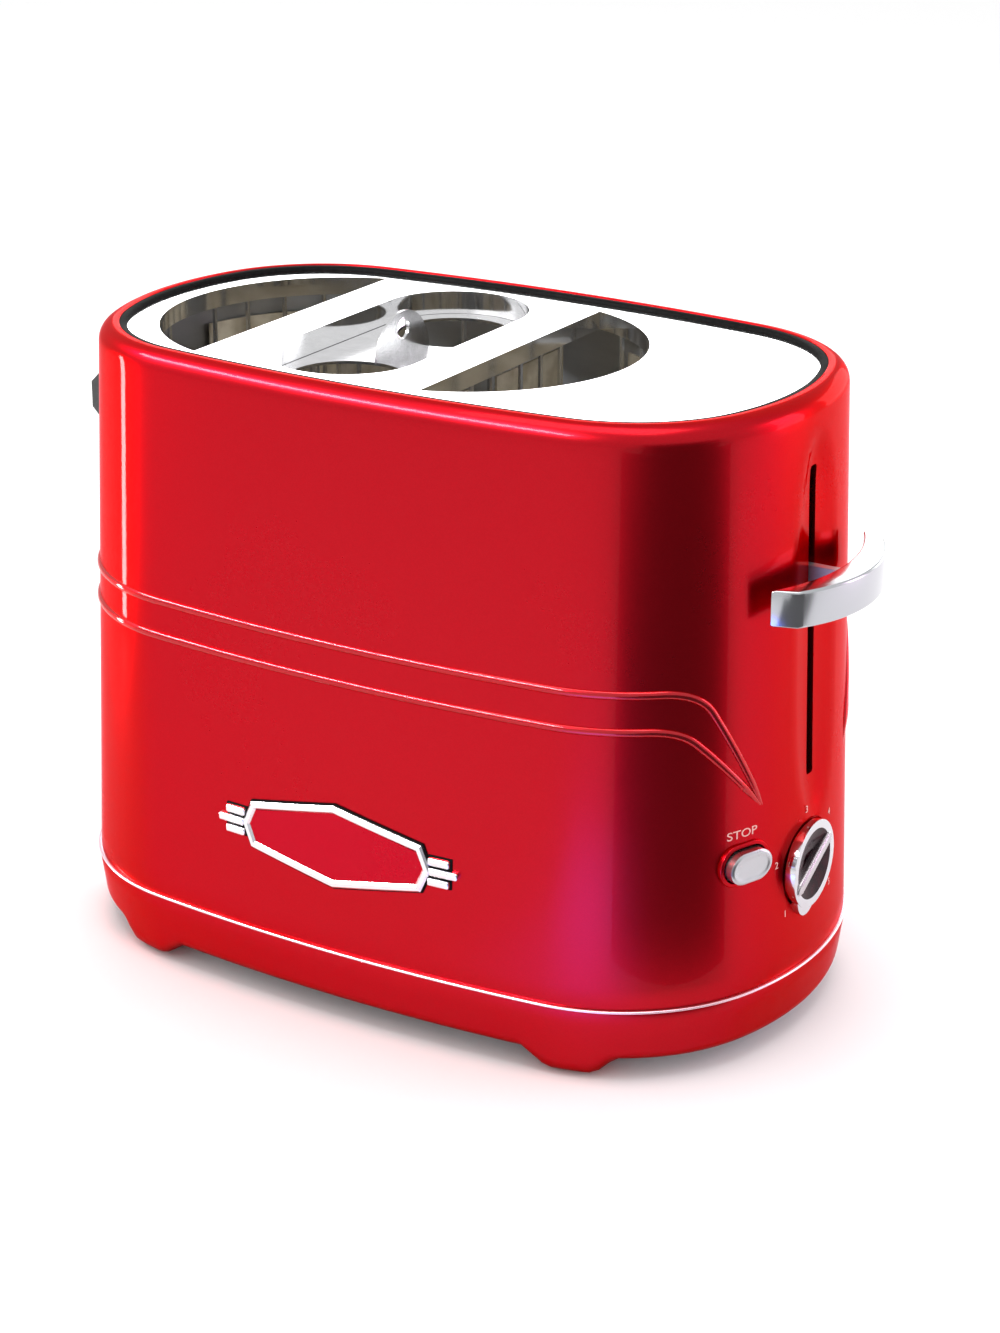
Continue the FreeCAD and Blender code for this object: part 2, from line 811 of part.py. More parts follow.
def finger_dish():
    """A barrel that cuts the shallow dish round the slot, tilted with the housing's end."""
    body = new_body("finger_dish")
    sketch = sketch_on(body, "XZ_Plane")
    narrow = "(dish_cross_radius - dish_depth - 1)"
    arc = "((dish_half_height ^ 2 + (dish_depth + 1) ^ 2) / (2 * (dish_depth + 1)))"
    profile(sketch, [
        ("0", "dish_half_height"),
        ("-" + narrow, "dish_half_height"),
        ("-" + narrow, "-dish_half_height"),
        ("0", "-dish_half_height"),
    ], {1: (arc, 1)})
    turned = body.newObject("PartDesign::Revolution", "finger_dish_turn")
    turned.Profile = sketch
    turned.ReferenceAxis = (sketch, ["V_Axis"])
    turned.Angle = 360
    tilt = math.atan(amount("body_flare / (body_height - seam_height)"))
    reach = "(dish_cross_radius - dish_depth)"
    return at(body, end_surface_x("dish_middle_height") + " + " + reach, "0", "dish_middle_height",
              FreeCAD.Rotation(Vector(0, 1, 0), -math.degrees(tilt)))


def make_body_shell():
    form = rounded_housing()
    cavity = tapered_form("housing_cavity", "(-body_wall)", "(seam_height - 1)", LEDGE_BOTTOM)
    # thick pad behind the finger dish, which the slot runs through
    pad_block = box("guide_block", "guide_block_x", "top_half_length + body_flare + bead_height",
                    "-guide_block_half_width", "guide_block_half_width",
                    "guide_block_low", "guide_block_high")
    rim_hole = plan_pad("rim_hole", "(-rim_width)", PLATE_SEAT, "plate_drop + plate_thickness + 1")
    ledge_hole = plan_pad("ledge_hole", "(-rim_width - ledge_width)", LEDGE_BOTTOM + " - 1",
                          "ledge_thickness + 2")
    skin = tapered_form("bead_skin", "bead_height", "seam_height", "body_height")
    core = tapered_form("bead_core", "(-body_wall / 2)", "(seam_height - 1)", "(body_height + 1)")
    beads = common("beads", cut("bead_ring", skin, core), pressed_beads())
    walls = fuse("housing_walls", cut("housing_pan", form, cut("housing_hollow", cavity, pad_block)), beads)
    slot = box("lever_slot", "guide_block_x - 1", "top_half_length + body_flare + bead_height",
               "-slot_width / 2", "slot_width / 2",
               "lever_height - lever_drop - arm_height / 2 - slot_foot_margin",
               "lever_height + lever_lift + arm_height / 2 + slot_margin")
    knob_recess = pad_of("knob_recess", lambda sketch: circle(sketch, "0", "0", "knob_radius + knob_gap"),
                         "0", "knob_seat_depth * 3")
    place_by_knob(knob_recess, "knob_seat_depth")
    shaft_hole = pad_of("shaft_hole", lambda sketch: circle(sketch, "0", "0", "shaft_radius + knob_gap"),
                        "0", "body_wall * 4")
    place_by_knob(shaft_hole, "body_wall * 3")
    button_hole = place_by_button(oval_cap("button_hole", "fit_gap", "body_wall * 6"), "body_wall * 3")
    return form, cut("body_shell", walls, rim_hole, ledge_hole, finger_dish(), slot, knob_recess,
                     shaft_hole, button_hole)


def foot_blocks():
    """Feet with curved sides, which run into the skirt above them."""
    rise = "(skirt_edge_height - sole_height)"
    quarter_run = "((foot_root - foot_sole) / 4)"
    arc = "((" + quarter_run + " ^ 2 + (" + rise + " / 2) ^ 2) / " + rise + ")"
    middle = "(foot_sole / 2 + " + quarter_run + ")"
    waist = "(sole_height + " + rise + " / 2)"
    root_top = "(skirt_edge_height + skirt_wall)"
    feet = []
    for sx, sy in CORNERS:
        body = new_body("foot_block")
        sketch = sketch_on(body, "XZ_Plane", "-" + sy + " * top_half_width")
        centre = sx + " * foot_centre"
        profile(sketch, [
            (centre + " - foot_root / 2", "skirt_edge_height"),
            (centre + " - " + middle, waist),
            (centre + " - foot_sole / 2", "sole_height"),
            (centre + " + foot_sole / 2", "sole_height"),
            (centre + " + " + middle, waist),
            (centre + " + foot_root / 2", "skirt_edge_height"),
            (centre + " + foot_root / 2", root_top),
            (centre + " - foot_root / 2", root_top),
        ], {0: (arc, -1), 1: (arc, 1), 3: (arc, 1), 4: (arc, -1)})
        pad(body, sketch, "foot_depth * 2", SideType="Symmetric")
        feet.append(body)
    limit = skirt_form("foot_limit", "0", "0", "seam_height")
    plate_room = plan_pad("foot_plate_room", BOTTOM_GROWTH, "bottom_plate_height", "foot_depth")
    return cut("feet", common("foot_solids", fuse("foot_blocks", *feet), limit), plate_room)


def make_base():
    outer = rounded_skirt()
    inner = skirt_form("skirt_inner", "(-skirt_wall)", "(skirt_edge_height - 1)", "(seam_height + 1)")
    lip_outer = "(body_flare - body_wall - fit_gap)"
    lip_inner = "(" + lip_outer + " - lip_thickness)"
    shelf = tube("skirt_shelf",
                 lambda sketch: outline(sketch, "(body_flare + skirt_proud - skirt_wall / 2)"),
                 lambda sketch: outline(sketch, lip_inner),
                 "(seam_height - lip_height)", "lip_height")
    lip = tube("skirt_lip", lambda sketch: outline(sketch, lip_outer),
               lambda sketch: outline(sketch, lip_inner), "seam_height", "lip_height")
    pieces = [cut("skirt_wall", outer, inner), shelf, lip]
    for sx, sy in CORNERS:
        x = sx + " * boss_x"
        y = sy + " * boss_y"
        pieces.append(cylinder("boss", "boss_radius", x, y, BOTTOM_TOP, "chassis_height"))
        half = "skirt_wall / 2"
        low, high = (y, y + " + foot_depth") if sy == "1" else (y + " - foot_depth", y)
        web = box("boss_web", x + " - " + half, x + " + " + half, low, high,
                  BOTTOM_TOP, "seam_height - lip_height / 2")
        pieces.append(common("boss_web_fitted", web, skirt_form(
            "web_limit", "(-skirt_wall / 2)", "skirt_edge_height", "seam_height")))
    pieces.append(foot_blocks())
    solid = fuse("base_solid", *pieces)
    tray_way = box("tray_way", "-top_half_length * 2", "-boss_x", "-tray_half_width - fit_gap",
                   "tray_half_width + fit_gap", BOTTOM_TOP, TRAY_BOTTOM + " + tray_height + fit_gap")
    seat = top_side_y("gland_seat_depth")
    gland_way = turned_bore("gland_way", "gland_neck_radius", seat + " - foot_depth", "foot_depth * 2")
    gland_seat = turned_bore("gland_seat", "gland_flange_radius + fit_gap", seat, "foot_depth")
    tools = [tray_way, gland_way, gland_seat]
    for sx, sy in CORNERS:
        x = sx + " * boss_x"
        y = sy + " * boss_y"
        tools.append(cylinder("boss_bore", "screw_radius", x, y, BOTTOM_TOP + " - 1", "chassis_height + 1"))
        tools.append(cylinder("pad_seat", "pad_radius", sx + " * foot_centre", sy + " * foot_pad_y", "0",
                              "pad_height"))
    return cut("base", solid, *tools)


def top_side_y(depth):
    """Where a flat seat at a depth stands on the back wall of the skirt, at the gland."""
    radius = "(side_radius + " + skirt_growth("gland_height") + ")"
    return ("(top_half_width - side_radius + sqrt(" + radius + " ^ 2 - gland_x ^ 2) - " + depth + ")")


def turned_bore(name, radius, y_low, length):
    """A cylinder along +Y on the gland's axis."""
    item = doc.addObject("Part::Cylinder", name)
    bind(item, "Radius", radius)
    bind(item, "Height", length)
    return at(item, "gland_x", y_low, "gland_height", FreeCAD.Rotation(Vector(1, 0, 0), -90))


def make_cord_gland():
    seat = top_side_y("gland_seat_depth")
    neck = turned_bore("gland_neck", "gland_neck_radius", seat + " - gland_neck_length", "gland_neck_length + fit_gap")
    flange = turned_bore("gland_flange", "gland_flange_radius", seat, "gland_flange")
    hole = turned_bore("gland_hole", "gland_bore_radius", seat + " - foot_depth", "foot_depth * 2")
    return cut("cord_gland", fuse("gland_solid", neck, flange), hole)


def make_bottom_plate():
    plate = plan_pad("bottom_sheet", BOTTOM_GROWTH, "bottom_plate_height", "bottom_plate_thickness")
    tools = []
    for sx, sy in CORNERS:
        tools.append(cylinder("bottom_screw_hole", "screw_radius", sx + " * boss_x", sy + " * boss_y", "0",
                              "seam_height"))
    for sy in ("-1", "1"):
        vent = new_body("vent_row")
        sketch = sketch_on(vent, "XY_Plane", "bottom_plate_height - 1")
        left = "-vent_pitch * (vent_count - 1) / 2"
        box_outline(sketch, left + " - vent_width / 2", left + " + vent_width / 2",
                    sy + " * vent_row_y - vent_length / 2", sy + " * vent_row_y + vent_length / 2")
        slot = pad(vent, sketch, "bottom_plate_thickness + 2")
        row = vent.newObject("PartDesign::LinearPattern", "vent_row_pattern")
        row.Originals = [slot]
        row.Direction = (sketch, ["H_Axis"])
        bind(row, "Length", "vent_pitch * (vent_count - 1)")
        row.Occurrences = int(amount("vent_count"))
        vent.Tip = row
        tools.append(vent)
    return cut("bottom_plate", plate, *tools)


def make_foot_pads():
    return group("foot_pads", [
        cylinder("foot_pad", "pad_radius", sx + " * foot_centre", sy + " * foot_pad_y", "0", "pad_height")
        for sx, sy in CORNERS])


def make_top_plate():
    sheet = plan_pad("plate_sheet", "(-rim_width - fit_gap)", PLATE_SEAT, "plate_thickness")
    well = hot_dog_pair("plate_recess", "recess_radius", PLATE_SEAT + " - 1", "plate_thickness + 2")
    slots = [food_slot("plate_slot", sign, "0", PLATE_SEAT + " - 1", "plate_thickness + 2")
             for sign in ("-1", "1")]
    pierced = cut("plate_pierced", sheet, well, *slots)
    pieces = [pierced]
    for sign in ("-1", "1"):
        pieces.append(tube("slot_lip", lambda sketch: bun_outline(sketch, sign, "(-lip_sheet)"),
                           lambda sketch: bun_outline(sketch, sign, "0"),
                           "(" + PLATE_SEAT + " - bun_lip_depth)", "bun_lip_depth"))
    wall_low = "(" + FLANGE_SEAT + " - lip_sheet)"
    pieces.append(tube(
        "recess_wall",
        lambda sketch: obround(sketch, "well_centre", "0", "hot_dog_shift", "(recess_radius + lip_sheet)"),
        lambda sketch: obround(sketch, "well_centre", "0", "hot_dog_shift", "recess_radius"),
        wall_low, PLATE_SEAT + " - " + wall_low))
    pieces.append(tube(
        "recess_seat",
        lambda sketch: obround(sketch, "well_centre", "0", "hot_dog_shift", "(recess_radius + lip_sheet / 2)"),
        lambda sketch: obround(sketch, "well_centre", "0", "hot_dog_shift", "(recess_radius - recess_seat)"),
        wall_low, "lip_sheet"))
    return fuse("top_plate", *pieces)


def make_rear_spacer(form):
    body = new_body("spacer_block")
    sketch = sketch_on(body, "XZ_Plane")
    face = "-(top_half_length + spacer_reach)"
    inside = "-(top_half_length - end_radius / 10)"
    profile(sketch, [
        (inside, "spacer_low"),
        ("-(top_half_length + spacer_reach - spacer_chamfer)", "spacer_low"),
        (face, "spacer_low + spacer_chamfer"),
        (face, "spacer_high - spacer_chamfer"),
        ("-(top_half_length + spacer_reach - spacer_chamfer)", "spacer_high"),
        (inside, "spacer_high"),
    ])
    pad(body, sketch, "spacer_half_width * 2", SideType="Symmetric")
    return cut("rear_spacer", body, form)


def make_chassis_plate():
    sheet = plan_pad("chassis_sheet", "(" + flare_at("chassis_height") + " - body_wall - 2 * fit_gap)",
                     "chassis_height", "chassis_thickness")
    low = "chassis_height - 1"
    tools = [food_slot("crumb_slot", sign, "crumb_hole_inset", low, "chassis_thickness + 2")
             for sign in ("-1", "1")]
    for sy in ("-1", "1"):
        tools.append(cylinder("crumb_hole", "cage_radius - crumb_hole_inset / 2", "well_centre",
                              sy + " * hot_dog_shift", low, CHASSIS_TOP + " + 1"))
    for sx, sy in CORNERS:
        tools.append(cylinder("chassis_screw_hole", "screw_radius", sx + " * boss_x", sy + " * boss_y",
                              low, CHASSIS_TOP + " + 1"))
    return cut("chassis_plate", sheet, *tools)


def make_screws():
    base_screws = group("base_screws", [
        screw("base_screw", sx + " * boss_x", sy + " * boss_y",
              "bottom_plate_height - screw_head_height", "screw_length", True)
        for sx, sy in CORNERS])
    chassis_screws = group("chassis_screws", [
        screw("chassis_screw", sx + " * boss_x", sy + " * boss_y", CHASSIS_TOP, "screw_length", False)
        for sx, sy in CORNERS])
    return base_screws, chassis_screws


# ---------------------------------------------------------------- food wells

SHIELD_RADIUS = "(bun_arc_radius + shield_gap)"


def make_heat_shield():
    low = CHASSIS_TOP
    wall = tube("shield_wall",
                lambda sketch: obround(sketch, "well_centre", "0", "bun_arc_shift",
                                       "(" + SHIELD_RADIUS + " + shield_sheet)", True),
                lambda sketch: obround(sketch, "well_centre", "0", "bun_arc_shift", SHIELD_RADIUS, True),
                low, LEDGE_BOTTOM + " - " + low + " - lip_sheet")
    way = box("beam_way", "well_centre + bun_arc_shift + bun_arc_radius",
              "well_centre + bun_arc_shift + bun_arc_radius + shield_gap * 2",
              "-beam_way_half_width", "beam_way_half_width", CHASSIS_TOP + " - 1",
              "rack_height + lever_lift + beam_depth")
    return cut("heat_shield", wall, way)


def make_bun_guard(name, sign):
    """The upright wires round one bun, each hooked between the chassis plate and the top plate."""
    wire_line = "(-lip_sheet - guard_gap)"
    arc_radius = "(bun_arc_radius - " + wire_line + ")"
    wires = []
    for step in range(int(amount("guard_arc_wires"))):
        for side in ("-1", "1"):
            angle = "(guard_first_angle + guard_angle_pitch * " + str(step) + ")"
            x = "well_centre + " + sign + " * (bun_arc_shift + " + arc_radius + " * cos" + angle + ")"
            y = side + " * " + arc_radius + " * sin" + angle
            wires.append(wire("guard_wire", x, y, CHASSIS_TOP, PLATE_SEAT))
    for step in range(int(amount("guard_chord_wires"))):
        for side in ("-1", "1"):
            x = "well_centre + " + sign + " * (bun_chord_shift + " + wire_line + ")"
            y = side + " * (beam_gap + guard_chord_pitch * " + str(step) + ")"
            wires.append(wire("guard_wire", x, y, CHASSIS_TOP, PLATE_SEAT))
    return group(name, wires)


def make_cage_flange():
    flange = hot_dog_pair("cage_plate", "recess_radius - fit_gap", FLANGE_SEAT, "cage_flange")
    holes = [cylinder("cage_hole", "cage_radius - wire_radius", "well_centre", sy + " * hot_dog_shift",
                      FLANGE_SEAT + " - 1", FLANGE_SEAT + " + cage_flange + 1") for sy in ("-1", "1")]
    lug = new_body("cage_lug")
    sketch = sketch_on(lug, "YZ_Plane", "well_centre")
    foot = FLANGE_SEAT + " + cage_flange / 2"
    top = FLANGE_SEAT + " + cage_flange"
    profile(sketch, [("-lug_radius", top), ("lug_radius", top)], {1: ("lug_radius + lug_ease", 1)})
    circle(sketch, "0", top + " + lug_hole_height", "lug_hole_radius")
    pad(lug, sketch, "lug_thickness", SideType="Symmetric")
    stem = box("cage_lug_root", "well_centre - lug_thickness / 2", "well_centre + lug_thickness / 2",
               "-lug_radius / 2", "lug_radius / 2", foot, top + " + lug_thickness")
    return fuse("cage_flange", cut("cage_pierced_plate", flange, *holes), lug, stem)


def make_cage_baskets():
    """Upright wires under the flange, eight round each hot dog, and the open ring that they stand on."""
    ring_top = "cage_bottom_height + cage_ring_height"
    opening_angle = 360 / amount("cage_wires")
    wires = []
    rings = []
    for sy in ("-1", "1"):
        y = sy + " * hot_dog_shift"
        ring = tube("cage_ring",
                    lambda sketch: circle(sketch, "well_centre", y, "cage_radius + cage_ring_width / 2"),
                    lambda sketch: circle(sketch, "well_centre", y, "cage_radius - cage_ring_width / 2"),
                    "cage_bottom_height", "cage_ring_height")
        gap = box("cage_gap", "well_centre - beam_gap / 2", "well_centre + beam_gap / 2",
                  "-hot_dog_shift / 2", "hot_dog_shift / 2", "cage_bottom_height - 1", ring_top + " + 1")
        rings.append(cut("cage_open_ring", ring, gap))
        for step in range(int(amount("cage_wires"))):
            angle = "(" + str(opening_angle / 2) + " + " + str(opening_angle * step) + ")"
            x = "well_centre + cage_radius * sin" + angle
            wires.append(wire("cage_wire", x, y + " + cage_radius * cos" + angle, ring_top, FLANGE_SEAT))
    return group("cage_wires", wires), group("cage_rings", rings)


def make_heaters():
    """Mica cards with flat wire wound round them: flat ones between the wells and curved ones outside."""
    cards = []
    wires = []
    flat_x = [("well_centre - card_shift", "-1"), ("well_centre + card_shift", "1")]
    count = int(amount("winding_count"))
    for x, sign in flat_x:
        for side in ("-1", "1"):
            low_y, high_y = ("card_inner_y", "card_outer_y")
            if side == "-1":
                low_y, high_y = ("-card_outer_y", "-card_inner_y")
            cards.append(box("heater_card", x + " - card_sheet / 2", x + " + card_sheet / 2", low_y, high_y,
                             CHASSIS_TOP, "card_top_height"))
            for step in range(count):
                level = "winding_start_height + winding_pitch * " + str(step)
                outer = box("winding_outer", x + " - card_sheet / 2 - winding", x + " + card_sheet / 2 + winding",
                            low_y + " - winding", high_y + " + winding", level, level + " + winding_height")
                inner = box("winding_inner", x + " - card_sheet / 2", x + " + card_sheet / 2", low_y, high_y,
                            level + " - 1", level + " + winding_height + 1")
                wires.append(cut("winding_turn", outer, inner))
    radius = "(bun_arc_radius + lip_sheet + guard_gap + wire_radius + curved_card_gap + winding)"
    outer_radius = "(" + radius + " + card_sheet)"
    for sign in ("-1", "1"):
        for side in ("-1", "1"):
            cards.append(curved_strip("heater_card", sign, side, radius, outer_radius,
                                      "curved_card_first_angle", "curved_card_sweep",
                                      CHASSIS_TOP, "card_top_height - " + CHASSIS_TOP))
            for step in range(int(amount("ribbon_count"))):
                wires.append(upright_ribbon(sign, side, radius, step))
    return group("heater_cards", cards), group("heater_wires", wires)


def upright_ribbon(sign, side, radius, step):
    """A length of ribbon that runs up the inner face of a curved card."""
    item = doc.addObject("Part::Box", "ribbon")
    bind(item, "Length", "winding")
    bind(item, "Width", "winding_height")
    bind(item, "Height", "card_top_height - winding_start_height - winding_pitch")
    turn = "(curved_card_first_angle + ribbon_pitch * (" + str(step) + " + 0.5))"
    if side == "-1":
        turn = "(-" + turn + ")"
    if sign == "-1":
        turn = "(180 - " + turn + ")"
    reach = "(" + radius + " - winding - ribbon_ease)"
    item.Placement = FreeCAD.Placement(Vector(0, 0, 0), FreeCAD.Rotation(UP, amount(turn)))
    bind(item, "Placement.Base.x",
         "well_centre + " + sign + " * bun_arc_shift + " + reach + " * cos" + turn
         + " + winding_height / 2 * sin" + turn)
    bind(item, "Placement.Base.y", reach + " * sin" + turn + " - winding_height / 2 * cos" + turn)
    bind(item, "Placement.Base.z", "winding_start_height")
    return item


def curved_strip(name, sign, side, inner, outer, first_angle, sweep, low, length):
    """A sector of a ring about the centre of a bun's arc."""
    pair = []
    for radius in (outer, inner):
        item = doc.addObject("Part::Cylinder", name + "_round")
        bind(item, "Radius", radius)
        bind(item, "Height", length)
        bind(item, "Angle", sweep)
        first = amount(first_angle)
        swept = amount(sweep)
        start = first if side == "1" else -first - swept
        if sign == "-1":
            start = 180 - start - swept
        at(item, "well_centre + " + sign + " * bun_arc_shift", "0", low, FreeCAD.Rotation(UP, start))
        pair.append(item)
    return cut(name, *pair)


# ---------------------------------------------------------------- carriage

def make_guide_rods():
    return group("guide_rods", [
        cylinder("guide_rod", "rod_radius", "rod_x", sy + " * rod_shift", CHASSIS_TOP, "rod_top_height")
        for sy in ("-1", "1")])


def make_rod_bracket():
    plate = box("bracket_plate", "spring_x - bush_radius", "rod_x + bush_radius", "-bracket_half_width",
                "bracket_half_width", "rod_top_height - bracket_thickness", "rod_top_height")
    bores = [cylinder("bracket_bore", "rod_radius", "rod_x", sy + " * rod_shift",
                      "rod_top_height - 2 * bracket_thickness", "rod_top_height + 1") for sy in ("-1", "1")]
    return cut("rod_bracket", plate, *bores)


def make_carriage():
    pieces = [box("carriage_sheet", "carriage_x", "carriage_x + carriage_thickness",
                  "-carriage_half_width", "carriage_half_width", "carriage_low", "carriage_high")]
    bores = []
    for sy in ("-1", "1"):
        y = sy + " * rod_shift"
        for low, high in (("carriage_low", "carriage_low + bush_height"),
                          ("carriage_high - bush_height", "carriage_high")):
            pieces.append(cylinder("bush", "bush_radius", "rod_x", y, low, high))
        bores.append(cylinder("bush_bore", "rod_radius + rod_running_gap", "rod_x", y, "carriage_low - 1",
                              "carriage_high + 1"))
    pieces.append(box("spring_tab", "spring_x - spring_radius", "carriage_x + carriage_thickness / 2",
                      "spring_y - spring_radius", "spring_y + spring_radius",
                      "spring_tab_height", "spring_tab_height + spring_tab_thickness"))
    return cut("carriage", fuse("carriage_solid", *pieces), *bores)


def make_rack_beam():
    return box("rack_beam", "-beam_reach", "carriage_x", "-beam_width / 2", "beam_width / 2",
               "rack_height - rack_thickness - beam_depth", "rack_height - rack_thickness")


def make_bun_rack(name, sign):
    body = new_body(name + "_sheet")
    sketch = sketch_on(body, "XY_Plane", "(rack_height - rack_thickness)")
    bun_outline(sketch, sign, "rack_inset", "rack_chord_inset")
    sheet = pad(body, sketch, "rack_thickness")
    tools = []
    inner = "(bun_chord_shift + rack_chord_inset)"
    outer = "(bun_arc_shift + bun_arc_radius - rack_inset)"
    middle = "well_centre + " + sign + " * (" + inner + " + " + outer + ") / 2"
    half_straight = "((" + outer + " - " + inner + ") / 2 - rack_slot_margin - rack_slot / 2)"
    for side in ("-1", "1"):
        for step in (1, 2):
            slot = pad_of(name + "_slot", lambda sketch: obround(
                sketch, middle, side + " * rack_slot_pitch * " + str(step), half_straight, "rack_slot / 2", True),
                "(rack_height - rack_thickness - 1)", "rack_thickness + 2")
            tools.append(slot)
    return cut(name, body, *tools)


def make_hot_dog_lifters():
    lifters = []
    for sy in ("-1", "1"):
        disc = cylinder("lifter_disc", "lifter_radius", "well_centre", sy + " * hot_dog_shift",
                        "rack_height - rack_thickness", "rack_height")
        low, high = ("beam_width / 2", "hot_dog_shift")
        if sy == "-1":
            low, high = ("-hot_dog_shift", "-beam_width / 2")
        bar = box("lifter_bar", "well_centre - lifter_bar / 2", "well_centre + lifter_bar / 2", low, high,
                  "rack_height - rack_thickness - lifter_bar / 2", "rack_height - rack_thickness / 2")
        lifters.append(fuse("lifter", disc, bar))
    return group("hot_dog_lifters", lifters)


def make_lever():
    arm = box("lever_arm", "carriage_x + carriage_thickness", LEVER_INNER_X + " + arm_socket_depth",
              "-arm_thickness / 2", "arm_thickness / 2",
              "lever_height - arm_height / 2", "lever_height + arm_height / 2")
    body = new_body("lever_handle")
    sketch = sketch_on(body, "XY_Plane", LEVER_BOTTOM)
    tip_span = "(lever_half_span - lever_end_slant)"
    outer_arc = "((" + tip_span + " ^ 2 + lever_bow ^ 2) / (2 * lever_bow))"
    inner_arc = "((lever_half_span ^ 2 + lever_inner_bow ^ 2) / (2 * lever_inner_bow))"
    tip = "(top_half_length + lever_reach - lever_bow)"
    heel = "(" + LEVER_INNER_X + " - lever_inner_bow)"
    profile(sketch, [
        (tip, "-" + tip_span),
        (tip, tip_span),
        (heel, "lever_half_span"),
        (heel, "-lever_half_span"),
    ], {0: (outer_arc, 1), 2: (inner_arc, -1)})
    pad(body, sketch, "lever_depth")
    tip_x = amount(tip) - 0.01
    half_span = amount("lever_half_span")
    chamfer_edges(body, "lever_round", lambda bounds: bounds.XMin > tip_x or (
        bounds.XLength > 0.01 and bounds.YLength < half_span))
    socket = sketch_on(body, "XZ_Plane")
    box_outline(socket, LEVER_INNER_X + " - arm_socket_depth", LEVER_INNER_X + " + arm_socket_depth",
                "lever_height - arm_height / 2", "lever_height + arm_height / 2")
    pocket(body, socket, "arm_thickness", SideType="Symmetric")
    return arm, body


LEVER_INNER_X = "(top_half_length + lever_reach - lever_middle)"


def make_armature():
    return box("armature", "magnet_x - magnet_width / 2", "carriage_x", "magnet_y - magnet_width / 2",
               "switch_y + switch_width / 2", ARMATURE_LOW, ARMATURE_LOW + " + armature_thickness")


MAGNET_TOP = "(" + CHASSIS_TOP + " + magnet_height)"
ARMATURE_LOW = "(" + MAGNET_TOP + " + lever_drop + fit_gap)"


def make_lift_spring():
    """A coil of square wire, ruled between square sections set along a helix."""
    low = amount("spring_tab_height + spring_tab_thickness + spring_wire")
    high = amount("rod_top_height - bracket_thickness - spring_wire")
    radius = amount("spring_radius - spring_wire")
    half = amount("spring_wire") / 2
    turns = int(amount("spring_turns"))
    steps = int(amount("spring_steps"))
    sections = []
    for step in range(turns * steps + 1):
        turn = 2 * math.pi * step / steps
        height = low + (high - low) * step / (turns * steps)
        across = Vector(math.cos(turn), math.sin(turn), 0)
        centre = Vector(amount("spring_x"), amount("spring_y"), height) + across * radius
        corners = [centre + across * half * out + UP * half * up
                   for out, up in ((-1, -1), (1, -1), (1, 1), (-1, 1))]
        sections.append(Part.makePolygon(corners + corners[:1]))
    item = doc.addObject("Part::Feature", "lift_spring")
    item.Shape = Part.makeLoft(sections, True, True)
    item.Label = "lift_spring"
    return item


def make_electromagnet():
    x_low = "magnet_x - magnet_width / 2"
    x_high = "magnet_x + magnet_width / 2"
    y_low = "magnet_y - magnet_width / 2"
    y_high = "magnet_y + magnet_width / 2"
    cheek = "coil_cheek"
    pieces = [
        box("coil_cheek_low", x_low, x_high, y_low, y_high, CHASSIS_TOP, CHASSIS_TOP + " + " + cheek),
        cylinder("coil", "magnet_width / 2 - 1", "magnet_x", "magnet_y", CHASSIS_TOP, MAGNET_TOP + " - " + cheek),
        box("coil_cheek_high", x_low, x_high, y_low, y_high, MAGNET_TOP + " - 2 * " + cheek,
            MAGNET_TOP + " - " + cheek),
        cylinder("magnet_core", "magnet_core_radius", "magnet_x", "magnet_y", CHASSIS_TOP, MAGNET_TOP),
    ]
    return fuse("electromagnet", *pieces)


def make_mains_switch():
    pieces = [
        box("mains_switch_case", "magnet_x - switch_width", "magnet_x + switch_width",
            "switch_y - switch_width / 2", "switch_y + switch_width / 2", CHASSIS_TOP,
            MAGNET_TOP + " - switch_depth / 2"),
        cylinder("mains_switch_plunger", "button_stem_radius", "magnet_x", "switch_y", CHASSIS_TOP, MAGNET_TOP),
    ]
    return fuse("mains_switch", *pieces)


# ---------------------------------------------------------------- controls

BOARD_FRONT = "(board_x + board_thickness)"


def make_control_board():
    return box("control_board", "board_x", BOARD_FRONT, "board_left", "board_right", "board_low", "board_high")


def make_board_brackets():
    brackets = []
    for y in ("board_left + board_bracket_width", "board_right - board_bracket_width"):
        low = y + " - board_bracket_width / 2"
        high = y + " + board_bracket_width / 2"
        upright = box("bracket_upright", BOARD_FRONT, BOARD_FRONT + " + chassis_thickness", low, high,
                      CHASSIS_TOP, "board_low + board_bracket_width")
        foot = box("bracket_foot", BOARD_FRONT, BOARD_FRONT + " + board_bracket_width", low, high,
                   CHASSIS_TOP, CHASSIS_TOP + " + chassis_thickness")
        brackets.append(fuse("board_bracket", upright, foot))
    return group("board_brackets", brackets)


def make_timer():
    turn = pad_of("timer_case", lambda sketch: circle(sketch, "0", "0", "timer_radius"), "0", "timer_length")
    at(turn, BOARD_FRONT, "knob_y", "knob_height", FACE_LEVER_END)
    bore = pad_of("timer_bore", lambda sketch: circle(sketch, "0", "0", "shaft_radius + shaft_gap"),
                  "timer_length / 4", "timer_length")
    at(bore, BOARD_FRONT, "knob_y", "knob_height", FACE_LEVER_END)
    return cut("timer", turn, bore)


